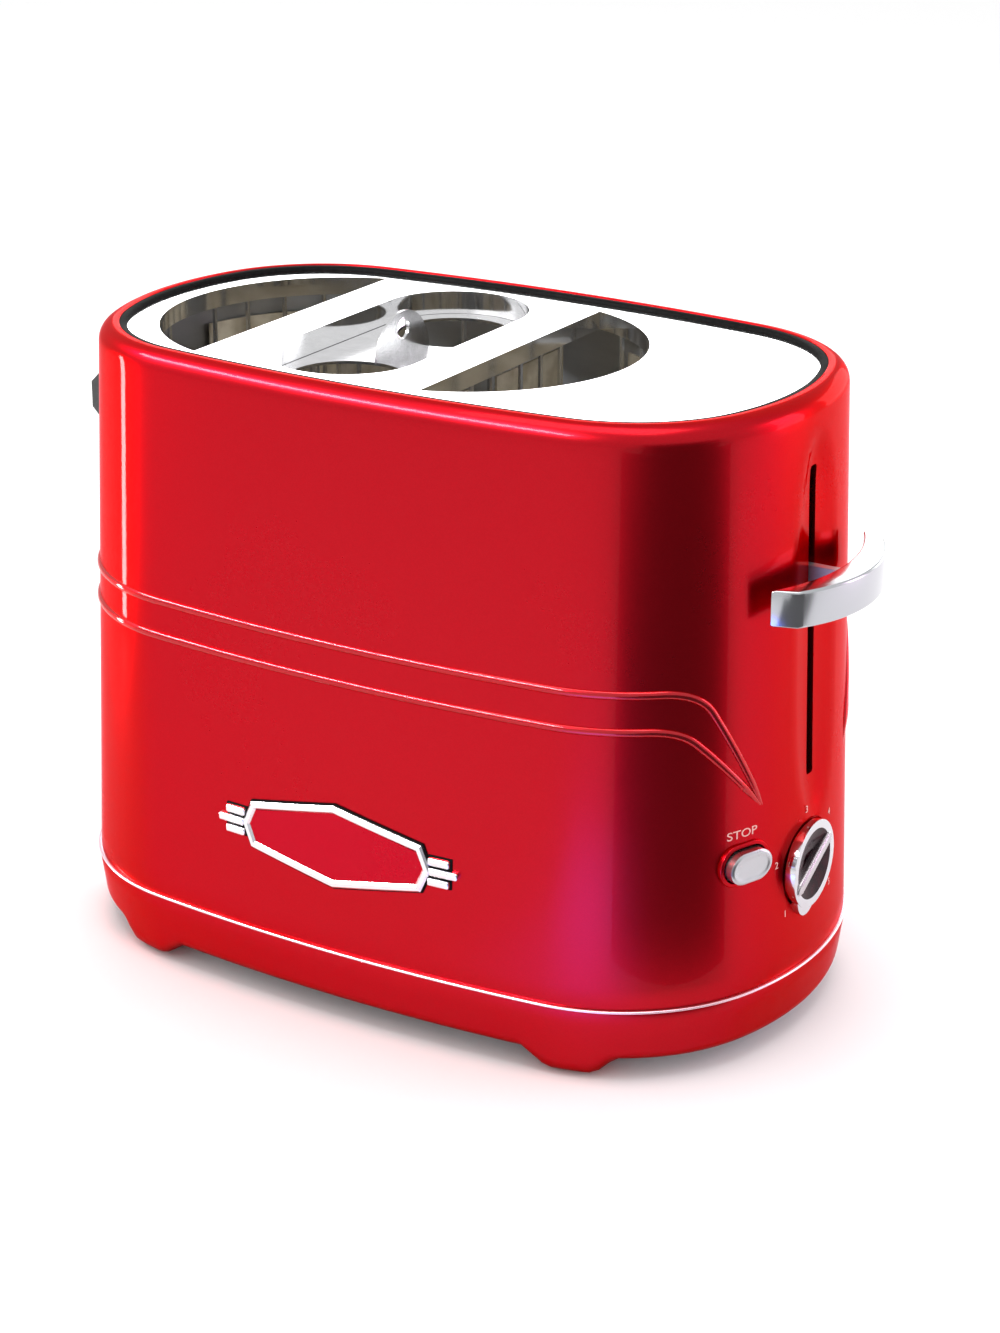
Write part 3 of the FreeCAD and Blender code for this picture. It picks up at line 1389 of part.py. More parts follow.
def make_knob():
    """Dial knob: rim, dished face, raised grip blade, pointer nose and shaft, drawn facing +Z."""
    disc = pad_of("knob_disc", lambda sketch: circle(sketch, "0", "0", "knob_radius"), "0", "knob_rim_height")
    hollow = doc.addObject("Part::Cone", "knob_dish")
    bind(hollow, "Radius1", "knob_blade_width / 2")
    bind(hollow, "Radius2", "knob_radius - knob_rim_width")
    bind(hollow, "Height", "knob_dish_depth")
    bind(hollow, "Placement.Base.z", "knob_rim_height - knob_dish_depth")
    nose_x = "knob_nose_shift * cos(knob_nose_angle)"
    nose_y = "knob_nose_shift * sin(knob_nose_angle)"
    nose = pad_of("knob_nose", lambda sketch: circle(sketch, nose_x, nose_y, "knob_nose_radius"),
                  "knob_nose_low", "knob_rim_height - knob_nose_low")
    blade = new_body("knob_blade")
    sketch = sketch_on(blade, "XY_Plane", "knob_rim_height - knob_dish_depth - fit_gap")
    obround(sketch, "0", "0", "(knob_radius - knob_rim_width / 2 - knob_blade_width / 2)",
            "knob_blade_width / 2", True)
    pad(blade, sketch, "knob_blade_height - knob_rim_height + knob_dish_depth + fit_gap")
    crest = amount("knob_blade_height")
    chamfer_edges(blade, "knob_blade_width / 5", lambda bounds: bounds.ZMin > crest - 0.01)
    blade.Placement = FreeCAD.Placement(Vector(0, 0, 0), FreeCAD.Rotation(UP, amount("knob_blade_angle")))
    shaft = doc.addObject("Part::Cylinder", "knob_shaft")
    bind(shaft, "Radius", "shaft_radius")
    shaft_length = "(" + end_surface_x("knob_height") + " - " + KNOB_BACK + " - " + BOARD_FRONT + " - timer_length / 2)"
    bind(shaft, "Height", shaft_length + " + knob_gap")
    bind(shaft, "Placement.Base.z", "-" + shaft_length)
    dial = cut("knob_dial", fuse("knob_disc_nose", disc, nose), hollow)
    return place_by_knob(fuse("knob", dial, blade, shaft), KNOB_BACK)


KNOB_BACK = "(knob_seat_depth - fit_gap)"


def make_stop_button():
    cap = oval_cap("button_cap", "0", "button_skirt + button_proud")
    crest = amount("button_skirt + button_proud")
    chamfer_edges(cap, "button_round", lambda bounds: bounds.ZMin > crest - 0.01)
    flange = oval_cap("button_flange", "button_flange", "button_flange_thickness")
    stem = cylinder("button_stem", "button_stem_radius", "0", "0", "-button_stem_length", "button_skirt / 2")
    return place_by_button(fuse("stop_button", cap, flange, stem), "button_skirt")


def make_stop_switch():
    """Push switch set square to the button, cut to sit on the board."""
    case = doc.addObject("Part::Box", "stop_switch_case")
    for key in ("Length", "Width"):
        bind(case, key, "switch_width")
    bind(case, "Height", "switch_reach")
    bind(case, "Placement.Base.x", "-switch_width / 2")
    bind(case, "Placement.Base.y", "-switch_width / 2")
    bore = cylinder("stop_switch_bore", "button_stem_radius + fit_gap", "0", "0",
                    "switch_reach - button_travel * 2", "switch_reach + 1")
    turned = cut("stop_switch_block", case, bore)
    holder = doc.addObject("Part::Compound", "stop_switch_turned")
    holder.Links = [turned]
    place_by_button(holder, "switch_reach + switch_top_depth")
    behind = box("behind_board_front", "guide_block_x / 2", BOARD_FRONT, "-top_half_width", "top_half_width",
                 "seam_height", "body_height")
    return cut("stop_switch", holder, behind)


def make_terminal_block():
    case = box("terminal_case", "gland_x - terminal_half_length", "gland_x + terminal_half_length",
               "terminal_y - switch_width / 2", "terminal_y + switch_width / 2", BOTTOM_TOP,
               BOTTOM_TOP + " + tray_height")
    wells = [cylinder("terminal_well", "screw_radius", "gland_x + terminal_pitch * " + str(step), "terminal_y",
                      BOTTOM_TOP + " + tray_height / 2", BOTTOM_TOP + " + tray_height + 1")
             for step in (-1, 0, 1)]
    return cut("terminal_block", case, *wells)


# ---------------------------------------------------------------- crumb tray and badge

def make_crumb_tray():
    rim = TRAY_BOTTOM + " + tray_height"
    outer = box("tray_outer", "-top_half_length", "tray_front_x", "-tray_half_width", "tray_half_width",
                TRAY_BOTTOM, rim)
    inner = box("tray_inner", "-top_half_length + tray_sheet", "tray_front_x - tray_sheet",
                "-tray_half_width + tray_sheet", "tray_half_width - tray_sheet",
                TRAY_BOTTOM + " + tray_sheet", rim + " + 1")
    panel = box("tray_panel", "-top_half_length * 2", "-top_half_length + tray_sheet", "-tray_half_width",
                "tray_half_width", TRAY_BOTTOM, rim)
    limit = skirt_form("tray_panel_limit", "0", "skirt_edge_height", "seam_height")
    scoop = cylinder("tray_scoop", "tray_half_width", "-top_half_length - tray_scoop_shift", "0", "0",
                     TRAY_BOTTOM + " + tray_height / 3")
    panel = cut("tray_scooped_panel", common("tray_end", panel, limit), scoop)
    return fuse("crumb_tray", cut("tray_pan", outer, inner), panel)


def octagon(sketch, border, end_border):
    half = "(badge_half_length - " + end_border + ")"
    shoulder = "(badge_shoulder - " + end_border + ")"
    end_height = "(badge_end_half_height - " + border + ")"
    peak = "(badge_half_height - " + border + ")"
    middle = "badge_height"
    profile(sketch, [
        (half, middle),
        (shoulder, middle + " + " + end_height),
        ("0", middle + " + " + peak),
        ("-" + shoulder, middle + " + " + end_height),
        ("-" + half, middle),
        ("-" + shoulder, middle + " - " + end_height),
        ("0", middle + " - " + peak),
        (shoulder, middle + " - " + end_height),
    ])


def badge_band(name, rise):
    """A layer on the housing's skin."""
    skin = tapered_form(name + "_skin", rise, "seam_height", "bead_upper_height")
    core = tapered_form(name + "_core", "0", "(seam_height - 1)", "(bead_upper_height + 1)")
    return cut(name, skin, core)


def badge_bar(name, x_low, x_high, z_middle):
    return box(name, x_low, x_high, "-top_half_width - body_flare * 2", "-top_half_width / 2",
               z_middle + " - badge_bar_height / 2", z_middle + " + badge_bar_height / 2")


def make_badge():
    def plaque(name, border, end_border):
        body = new_body(name)
        sketch = sketch_on(body, "XZ_Plane", "top_half_width / 2")
        octagon(sketch, border, end_border)
        pad(body, sketch, "top_half_width")
        return body

    outer = plaque("badge_outer", "0", "0")
    opening = plaque("badge_opening", "badge_border", "badge_end_border")
    field = plaque("badge_field", "badge_border", "badge_end_border")
    bars = []
    for step in (-1, 0, 1):
        level = "badge_height + badge_bar_pitch * " + str(step)
        length_cut = " - badge_bar_step" if step else ""
        tip = "badge_half_length + badge_bar_length - badge_end_border" + length_cut
        bars.append(badge_bar("badge_bar", "badge_shoulder", tip, level))
        bars.append(badge_bar("badge_bar", "-(" + tip + ")", "-badge_shoulder", level))
    plan = cut("badge_plan", fuse("badge_plan_solid", outer, *bars), opening)
    frame = common("badge_frame", plan, badge_band("badge_frame_band", "badge_rise"))
    inlay = common("badge_inlay", field, badge_band("badge_inlay_band", "inlay_rise"))
    return frame, inlay


# ---------------------------------------------------------------- whole toaster

housing_form, body_shell = make_body_shell()
base_screws, chassis_screws = make_screws()
heater_cards, heater_wires = make_heaters()
lever_arm, lever_handle = make_lever()
badge_frame, badge_inlay = make_badge()
cage_wires, cage_rings = make_cage_baskets()

NODES = [
    body_shell,
    make_base(),
    make_bottom_plate(),
    make_foot_pads(),
    make_top_plate(),
    make_rear_spacer(housing_form),
    make_chassis_plate(),
    make_heat_shield(),
    make_bun_guard("bun_guard_front", "1"),
    make_bun_guard("bun_guard_rear", "-1"),
    make_cage_flange(),
    cage_wires,
    cage_rings,
    heater_cards,
    heater_wires,
    make_guide_rods(),
    make_rod_bracket(),
    make_carriage(),
    make_rack_beam(),
    make_bun_rack("bun_rack_front", "1"),
    make_bun_rack("bun_rack_rear", "-1"),
    make_hot_dog_lifters(),
    lever_arm,
    lever_handle,
    make_armature(),
    make_lift_spring(),
    make_electromagnet(),
    make_mains_switch(),
    make_control_board(),
    make_board_brackets(),
    make_timer(),
    make_knob(),
    make_stop_button(),
    make_stop_switch(),
    make_terminal_block(),
    make_cord_gland(),
    make_crumb_tray(),
    badge_frame,
    badge_inlay,
    base_screws,
    chassis_screws,
]

doc.recompute()
os.makedirs("parts", exist_ok=True)
problems = []
for item in doc.Objects:
    if "Invalid" in item.State or "Error" in item.State:
        problems.append(item.Name + " " + " ".join(item.State))
for node in NODES:
    if node.Shape.isNull() or not node.Shape.isValid() or not node.Shape.Solids:
        problems.append(node.Label + " has no valid shape")
if problems:
    raise ValueError("; ".join(problems))
shift = Vector(amount(HOUSING_X), 0, 0)
for node in NODES:
    node.Shape.translated(shift).exportStep("parts/" + node.Label + ".step")
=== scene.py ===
"""Looks of the hot dog toaster: lacquered housing, steel plate, chrome lever, dial and badge."""

import math

import bmesh
import bpy
from mathutils import Matrix, Vector


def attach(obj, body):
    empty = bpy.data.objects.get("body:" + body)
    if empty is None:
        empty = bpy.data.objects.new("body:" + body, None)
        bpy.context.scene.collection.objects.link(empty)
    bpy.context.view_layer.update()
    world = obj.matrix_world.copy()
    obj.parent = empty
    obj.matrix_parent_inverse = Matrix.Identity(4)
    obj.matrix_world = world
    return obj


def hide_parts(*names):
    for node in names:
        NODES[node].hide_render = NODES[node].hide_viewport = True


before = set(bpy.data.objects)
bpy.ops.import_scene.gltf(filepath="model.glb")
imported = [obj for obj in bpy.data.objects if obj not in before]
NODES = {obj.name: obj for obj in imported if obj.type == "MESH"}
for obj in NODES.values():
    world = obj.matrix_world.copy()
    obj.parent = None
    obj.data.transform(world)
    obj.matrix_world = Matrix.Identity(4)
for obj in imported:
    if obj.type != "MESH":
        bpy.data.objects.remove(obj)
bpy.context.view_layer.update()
MM = 0.001

# ---------------- driving sizes, in millimetres

HOUSING_X = -5.35
HALF_LENGTH = 127.5
HALF_WIDTH = 75.0
SIDE_RADIUS = 654.0
END_RADIUS = 100.0
CORNER_RADIUS = 57.0
BODY_HEIGHT = 215.0
BODY_FLARE = 7.0
SEAM_HEIGHT = 25.5
SEAM_GROOVE = 0.7
# rings that are joined never share a height, which keeps the wall between them from twisting
RING_STEP = 0.05
RIM_ROUND = 6.0
RIM_WIDTH = 7.0
PLATE_EDGE = 9.0
PLATE_TOP = 213.2
PLATE_SEAT = 212.0
SHEET = 2.2
ROUND_STEPS = 8
# rings laid between two rings of the housing's wall, for its flare and its finger dish
WALL_CUTS = {4: 6, 5: 44}
SKIRT_EDGE = 7.0
SKIRT_TUCK = 2.4
SKIRT_PROUD = 0.8
SKIRT_ROUND = 4.0
SKIRT_WALL = 3.0
SKIRT_LEDGE = 12.0
SKIRT_STRAIGHT = 20.0
SKIRT_STEPS = 7
FOOT_CENTRE = 83.5
FOOT_ROOT = 30.0
FOOT_SOLE = 13.0
FOOT_DEPTH = 16.0
FOOT_CLEAR = 30.0
SOLE_HEIGHT = 1.2
TRAY_HALF = 38.3
TRAY_LOW = 9.2
TRAY_HIGH = 21.8
TRAY_REACH = (-150.0, -90.0)
GLAND_PLACE = (-50.0, 80.0, 16.0)
GLAND_LENGTH = 30.0
GLAND_RADIUS = 7.3
BEAD_PROUD = 0.9
BEAD_RADIUS = 1.5
BEAD_UPPER = 131.5
BEAD_PITCH = 12.0
BEAD_MEETING = (29.0, 87.0)
BEAD_TURN = 14.0
BEAD_TURN_Y = (60.0, 63.0)
DIVE_STEPS = 14
LEVER_HEIGHT = 155.7
LEVER_DEPTH = 12.0
LEVER_HALF = 34.0
LEVER_SLANT = 3.0
LEVER_OUTER = 147.5
LEVER_INNER = 138.2
LEVER_BOW = 10.0
LEVER_INNER_BOW = 9.0
SLOT_LOW = 89.0
SLOT_HIGH = 192.0
SLOT_WIDTH = 4.5
SLOT_REACH = (115.0, 140.0)
DISH_MIDDLE = 139.0
DISH_HALF = 64.0
DISH_WIDTH = 14.5
DISH_DEPTH = 2.6
DISH_ZONE = (60.0, 208.0)
KNOB_Y = -5.0
KNOB_Z = 60.3
KNOB_RADIUS = 14.7
KNOB_BACK = -1.3
KNOB_TOP = 2.1
KNOB_RING = 2.0
KNOB_DISH = 2.4
KNOB_GAP = 0.6
RECESS_DEPTH = 1.6
RECESS_TOOL = 10.0
BLADE_WIDTH = 6.0
BLADE_TOP = 3.4
BLADE_ANGLE = 29.0
NOSE_RADIUS = 6.5
NOSE_SHIFT = 10.7
NOSE_ANGLE = -112.0
NUMBER_RADII = (19.0, 19.0, 19.0, 20.0, 22.0)
NUMBER_ANGLES = (-136.0, 164.0, 94.0, 35.0, -39.0)
NUMBER_SIZE = 3.4
WORD_ANGLE = 21.3
WORD_Z = 81.3
WORD_SIZE = 4.3
WORD_STRETCH = (1.2, 0.92)
FILM = 0.04
FILM_PROUD = 0.05
BUTTON_ANGLE = 20.8
BUTTON_Z = 71.0
BUTTON_LENGTH = 17.4
BUTTON_WIDTH = 11.0
BUTTON_PROUD = 3.4
BUTTON_GAP = 0.4
LIP_WIDTH = 1.3
BADGE_Z = 63.3
BADGE_HALF = 36.5
BADGE_SHOULDER = 33.0
BADGE_END = 8.0
BADGE_PEAK = 14.3
BADGE_RISE = 1.7
BADGE_STRIDE = 5.5
BAR_TIP = 46.4
BAR_STEP = 3.0
BAR_HEIGHT = 2.7
BAR_PITCH = 3.5
SHADOW_BACKING_RISE = 0.45
WALL_BITE = 0.8

# ---------------- the housing's plan

def outline_centres():
    """Centres of the side, end and corner arcs, and the angles where they meet."""
    side = Vector((0.0, HALF_WIDTH - SIDE_RADIUS))
    end = Vector((HALF_LENGTH - END_RADIUS, 0.0))
    apart = end - side
    near_side = SIDE_RADIUS - CORNER_RADIUS
    near_end = END_RADIUS - CORNER_RADIUS
    along = (near_side ** 2 - near_end ** 2 + apart.length ** 2) / (2 * apart.length)
    off = math.sqrt(near_side ** 2 - along ** 2)
    unit = apart.normalized()
    corner = side + unit * along + Vector((unit.y, -unit.x)) * off
    side_angle = math.atan2(corner.y - side.y, corner.x - side.x)
    end_angle = math.atan2(corner.y - end.y, corner.x - end.x)
    return side, end, corner, side_angle, end_angle


SIDE, END, CORNER, SIDE_ANGLE, END_ANGLE = outline_centres()


def flare_at(height):
    """How far the housing's outline has grown at a height."""
    return BODY_FLARE * (BODY_HEIGHT - height) / (BODY_HEIGHT - SEAM_HEIGHT)


def skirt_growth(height):
    """How far the skirt stands out from the housing's upper outline at a height."""
    return BODY_FLARE + SKIRT_PROUD - SKIRT_TUCK * (SEAM_HEIGHT - height) / (SEAM_HEIGHT - SKIRT_EDGE)


def rounding(radius, share):
    """How far a quarter round has drawn in at a share of its height."""
    return radius * (1 - math.sqrt(max(0.0, 1 - share ** 2)))


def end_x(y, growth):
    """Distance of the lever end's surface from the housing's centre at a distance y from the middle."""
    across = abs(y)
    if across <= (END_RADIUS + growth) * math.sin(END_ANGLE):
        return END.x + math.sqrt((END_RADIUS + growth) ** 2 - across ** 2)
    return CORNER.x + math.sqrt(max(0.0, (CORNER_RADIUS + growth) ** 2 - (across - CORNER.y) ** 2))


def side_y(x, growth):
    """Distance of a long side's surface from the middle plane at a distance x from the housing's centre."""
    across = abs(x)
    if across <= (SIDE_RADIUS + growth) * math.cos(SIDE_ANGLE):
        return SIDE.y + math.sqrt((SIDE_RADIUS + growth) ** 2 - across ** 2)
    return CORNER.y + math.sqrt(max(0.0, (CORNER_RADIUS + growth) ** 2 - (across - CORNER.x) ** 2))


# ---------------- modelling steps

def new_piece(name):
    """An empty mesh piece, in edit mode."""
    bpy.ops.object.select_all(action="DESELECT")
    bpy.ops.mesh.primitive_plane_add(size=MM)
    piece = bpy.context.object
    piece.name = name
    piece.data.name = name
    bpy.ops.object.mode_set(mode="EDIT")
    bpy.ops.mesh.select_mode(type="VERT")
    bpy.ops.mesh.delete(type="VERT")
    return piece


def work_on(piece):
    """Leave edit mode, and make a piece the only one chosen."""
    if bpy.context.mode != "OBJECT":
        bpy.ops.object.mode_set(mode="OBJECT")
    bpy.ops.object.select_all(action="DESELECT")
    piece.select_set(True)
    bpy.context.view_layer.objects.active = piece


def finish_piece(piece, body, *replaced, smooth=35):
    """Leave edit mode, shade the piece, apply its place and let it ride on its body."""
    work_on(piece)
    bpy.ops.object.transform_apply(location=True, rotation=True, scale=True)
    bpy.ops.object.shade_smooth_by_angle(angle=math.radians(smooth))
    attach(piece, body)
    if replaced:
        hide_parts(*replaced)
    return piece


def dress(piece, material, slot, body, *replaced, smooth=35):
    """Paint a piece and finish it; the slot name is not used."""
    paint(piece, material)
    return finish_piece(piece, body, *replaced, smooth=smooth)


def edit_points(piece):
    return bmesh.from_edit_mesh(piece.data)


def ring_numbers(mesh):
    """The layer that tells which ring a vertex belongs to."""
    return mesh.verts.layers.int.get("ring") or mesh.verts.layers.int.new("ring")


def choose(piece, test):
    """Select the vertices that test picks, and what lies between them."""
    bpy.ops.mesh.select_mode(type="VERT")
    bpy.ops.mesh.select_all(action="DESELECT")
    mesh = edit_points(piece)
    for vert in mesh.verts:
        vert.select = bool(test(vert))
    mesh.select_flush_mode()
    bmesh.update_edit_mesh(piece.data)


def point_at(x, y, z, origin=HOUSING_X):
    """Start a chain with one vertex, in millimetres from the housing's centre."""
    bpy.ops.mesh.select_all(action="DESELECT")
    bpy.ops.mesh.primitive_plane_add(size=MM, location=((x + origin) * MM, y * MM, z * MM))
    bpy.ops.mesh.merge(type="CENTER")


def sweep(x, y, z, degrees, steps, origin=HOUSING_X):
    """Carry the chain on round a centre, counter-clockwise where degrees is positive."""
    bpy.ops.mesh.spin(steps=steps, angle=-math.radians(degrees),
                      center=((x + origin) * MM, y * MM, z * MM), axis=(0, 0, 1))


def extrude_by(x, y, z):
    """Extrude what is selected by a step, in millimetres."""
    bpy.ops.mesh.extrude_region_move(TRANSFORM_OT_translate={"value": (x * MM, y * MM, z * MM)})


def weld():
    """Merge the points that coincide."""
    bpy.ops.mesh.select_all(action="SELECT")
    bpy.ops.mesh.remove_doubles(threshold=0.01 * MM)


def fill_and_raise(x, y, z):
    """Close a chain into a face and make a solid of it."""
    weld()
    bpy.ops.mesh.edge_face_add()
    extrude_by(x, y, z)
    face_outwards()


def ring(piece, number, growth, height):
    """The housing's plan as a closed ring of edges, its vertices marked with a number."""
    ring_numbers(edit_points(piece))
    radius = END_RADIUS + growth
    point_at(END.x + radius * math.cos(END_ANGLE), -radius * math.sin(END_ANGLE), height)
    end_sweep = math.degrees(2 * END_ANGLE)
    corner_sweep = math.degrees(SIDE_ANGLE - END_ANGLE)
    side_sweep = 180 - math.degrees(2 * SIDE_ANGLE)
    for x, y, degrees, steps in (
        (END.x, 0, end_sweep, 24),
        (CORNER.x, CORNER.y, corner_sweep, 22),
        (0, SIDE.y, side_sweep, 20),
        (-CORNER.x, CORNER.y, corner_sweep, 22),
        (-END.x, 0, end_sweep, 24),
        (-CORNER.x, -CORNER.y, corner_sweep, 22),
        (0, -SIDE.y, side_sweep, 20),
        (CORNER.x, -CORNER.y, corner_sweep, 22),
    ):
        sweep(x, y, height, degrees, steps)
    mesh = edit_points(piece)
    layer = ring_numbers(mesh)
    for vert in mesh.verts:
        vert.select = vert[layer] == 0
        if vert.select:
            vert[layer] = number
    mesh.select_flush_mode()
    bmesh.update_edit_mesh(piece.data)
    bpy.ops.mesh.remove_doubles(threshold=0.02 * MM)


def bridge(piece, first_ring, second_ring, cuts=0):
    """Join two rings, each given as its number and height, with a wall."""
    layer = ring_numbers(edit_points(piece))
    heights = dict((first_ring, second_ring))
    choose(piece, lambda vert: vert[layer] in heights
           and abs(vert.co.z / MM - heights[vert[layer]]) < 0.01)
    bpy.ops.mesh.bridge_edge_loops(number_cuts=cuts, interpolation="LINEAR")


def wall_through(piece, levels, cuts=None, closed=False):
    """A wall through rings at several growths and heights; cuts maps a ring number to the cuts above it."""
    cuts = cuts or {}
    for number, (growth, height) in enumerate(levels, start=1):
        ring(piece, number, growth, height)
    numbered = [(number, height) for number, (growth, height) in enumerate(levels, start=1)]
    pairs = list(zip(numbered, numbered[1:]))
    if closed:
        pairs.append((numbered[-1], numbered[0]))
    for first_ring, second_ring in pairs:
        bridge(piece, first_ring, second_ring, cuts.get(first_ring[0], 0))


def inset_steps(*steps):
    """Inset the chosen face again and again, each step a width and a rise in millimetres."""
    for width, rise in steps:
        bpy.ops.mesh.inset(thickness=width * MM, depth=rise * MM)


def face_outwards():
    bpy.ops.mesh.select_all(action="SELECT")
    bpy.ops.mesh.normals_make_consistent(inside=False)


def add_modifier(piece, kind, **settings):
    """Add a modifier and apply it at once."""
    work_on(piece)
    modifier = piece.modifiers.new(kind.lower(), kind)
    for key, value in settings.items():
        setattr(modifier, key, value)
    bpy.ops.object.modifier_apply(modifier=modifier.name)


def carve(piece, cutter, **settings):
    """Cut one piece out of another and drop the cutter."""
    add_modifier(piece, "BOOLEAN", object=cutter, operation="DIFFERENCE", solver="EXACT", **settings)
    bpy.data.objects.remove(cutter)


def round_edges(piece, width, segments, degrees):
    """Round the edges that turn by more than an angle."""
    add_modifier(piece, "BEVEL", width=width * MM, segments=segments, limit_method="ANGLE",
                 angle_limit=math.radians(degrees))


def round_cutter(name, radius, length, rotation, place, vertices=96):
    """A cylinder that cuts a round opening, placed in millimetres from the housing's centre."""
    bpy.ops.object.select_all(action="DESELECT")
    bpy.ops.mesh.primitive_cylinder_add(
        vertices=vertices, radius=radius * MM, depth=length * MM, rotation=rotation,
        location=((place[0] + HOUSING_X) * MM, place[1] * MM, place[2] * MM))
    cutter = bpy.context.object
    cutter.name = name
    return cutter


def rounded_block(name, low, high, bevel, segments=3):
    """A block between two corners, in millimetres from the housing's centre, with rounded edges."""
    bpy.ops.object.select_all(action="DESELECT")
    middle = [(a + b) / 2 * MM for a, b in zip(low, high)]
    middle[0] += HOUSING_X * MM
    bpy.ops.mesh.primitive_cube_add(size=1, location=middle,
                                    scale=[(b - a) * MM for a, b in zip(low, high)])
    block = bpy.context.object
    block.name = name
    bpy.ops.object.transform_apply(location=True, rotation=True, scale=True)
    bpy.ops.object.mode_set(mode="EDIT")
    bpy.ops.mesh.select_all(action="SELECT")
    bpy.ops.mesh.bevel(offset=bevel * MM, segments=segments, affect="EDGES")
    bpy.ops.object.mode_set(mode="OBJECT")
    return block


# ---------------- shader groups

def new_group(name, inputs, outputs):
    """A shader node group with named sockets: inputs map a name to its default value."""
    tree = bpy.data.node_groups.new(name, "ShaderNodeTree")
    for label, default in inputs.items():
        kind = "NodeSocketVector" if default is None else "NodeSocketFloat"
        socket = tree.interface.new_socket(name=label, in_out="INPUT", socket_type=kind)
        if default is not None:
            socket.default_value = default
    for label in outputs:
        tree.interface.new_socket(name=label, in_out="OUTPUT", socket_type="NodeSocketFloat")
    enter = tree.nodes.new("NodeGroupInput")
    leave = tree.nodes.new("NodeGroupOutput")
    return tree, enter, leave


def noise(tree, vector, scale, detail, scale_link=None):
    node = tree.nodes.new("ShaderNodeTexNoise")
    node.inputs["Scale"].default_value = scale
    node.inputs["Detail"].default_value = detail
    tree.links.new(vector, node.inputs["Vector"])
    if scale_link is not None:
        tree.links.new(scale_link, node.inputs["Scale"])
    return node


def feed(tree, value, socket):
    """Set a socket to a number, or link it to another socket."""
    if isinstance(value, (int, float)):
        socket.default_value = value
    else:
        tree.links.new(value, socket)


def maths(tree, operation, *values):
    """Result of a math node over numbers or sockets."""
    node = tree.nodes.new("ShaderNodeMath")
    node.operation = operation
    for socket, value in zip(node.inputs, values):
        feed(tree, value, socket)
    return node.outputs[0]


def remap(tree, value, low, high, to_low, to_high):
    node = tree.nodes.new("ShaderNodeMapRange")
    for label, number in (("From Min", low), ("From Max", high), ("To Min", to_low), ("To Max", to_high)):
        feed(tree, number, node.inputs[label])
    tree.links.new(value, node.inputs["Value"])
    return node.outputs["Result"]


def make_handling_group():
    """Faint smears and specks from handling: a smear mask, and a roughness between two ends."""
    sockets = {"Vector": None, "Smear Scale": 14.0, "Low": 0.1, "High": 0.2}
    tree, enter, leave = new_group("handling_marks", sockets, ("Smear", "Roughness"))
    vector = enter.outputs["Vector"]
    smear = noise(tree, vector, 14.0, 3.0, enter.outputs["Smear Scale"])
    fine = noise(tree, vector, 420.0, 2.0)
    mixed = maths(tree, "MULTIPLY_ADD", fine.outputs["Fac"], 0.25, smear.outputs["Fac"])
    tree.links.new(mixed, leave.inputs["Smear"])
    rough = remap(tree, mixed, 0.45, 0.85, enter.outputs["Low"], enter.outputs["High"])
    tree.links.new(rough, leave.inputs["Roughness"])
    return tree


def make_grain_group():
    """Brushed grain, long along one axis: a height, and a mask of its lines."""
    sockets = {"Vector": None, "Along X": 3.0, "Along Y": 900.0, "Along Z": 900.0}
    tree, enter, leave = new_group("brushed_grain", sockets, ("Height", "Lines"))
    split = tree.nodes.new("ShaderNodeSeparateXYZ")
    tree.links.new(enter.outputs["Vector"], split.inputs[0])
    join = tree.nodes.new("ShaderNodeCombineXYZ")
    for axis in "XYZ":
        scaled = maths(tree, "MULTIPLY", split.outputs[axis], enter.outputs["Along " + axis])
        tree.links.new(scaled, join.inputs[axis])
    lines = noise(tree, join.outputs[0], 1.0, 4.0)
    tree.links.new(lines.outputs["Fac"], leave.inputs["Height"])
    tree.links.new(remap(tree, lines.outputs["Fac"], 0.35, 0.65, 0.0, 1.0), leave.inputs["Lines"])
    return tree


def make_flake_group():
    """Metal flakes in a lacquer: a sparkle mask and a fine height."""
    sockets = {"Vector": None, "Flake Scale": 3200.0}
    tree, enter, leave = new_group("lacquer_flakes", sockets, ("Sparkle", "Height"))
    cells = tree.nodes.new("ShaderNodeTexVoronoi")
    tree.links.new(enter.outputs["Vector"], cells.inputs["Vector"])
    tree.links.new(enter.outputs["Flake Scale"], cells.inputs["Scale"])
    tone = tree.nodes.new("ShaderNodeSeparateColor")
    tree.links.new(cells.outputs["Color"], tone.inputs[0])
    tree.links.new(tone.outputs[0], leave.inputs["Sparkle"])
    peel = noise(tree, enter.outputs["Vector"], 260.0, 1.0)
    tree.links.new(peel.outputs["Fac"], leave.inputs["Height"])
    return tree


HANDLING = make_handling_group()
GRAIN = make_grain_group()
FLAKES = make_flake_group()


# ---------------- materials

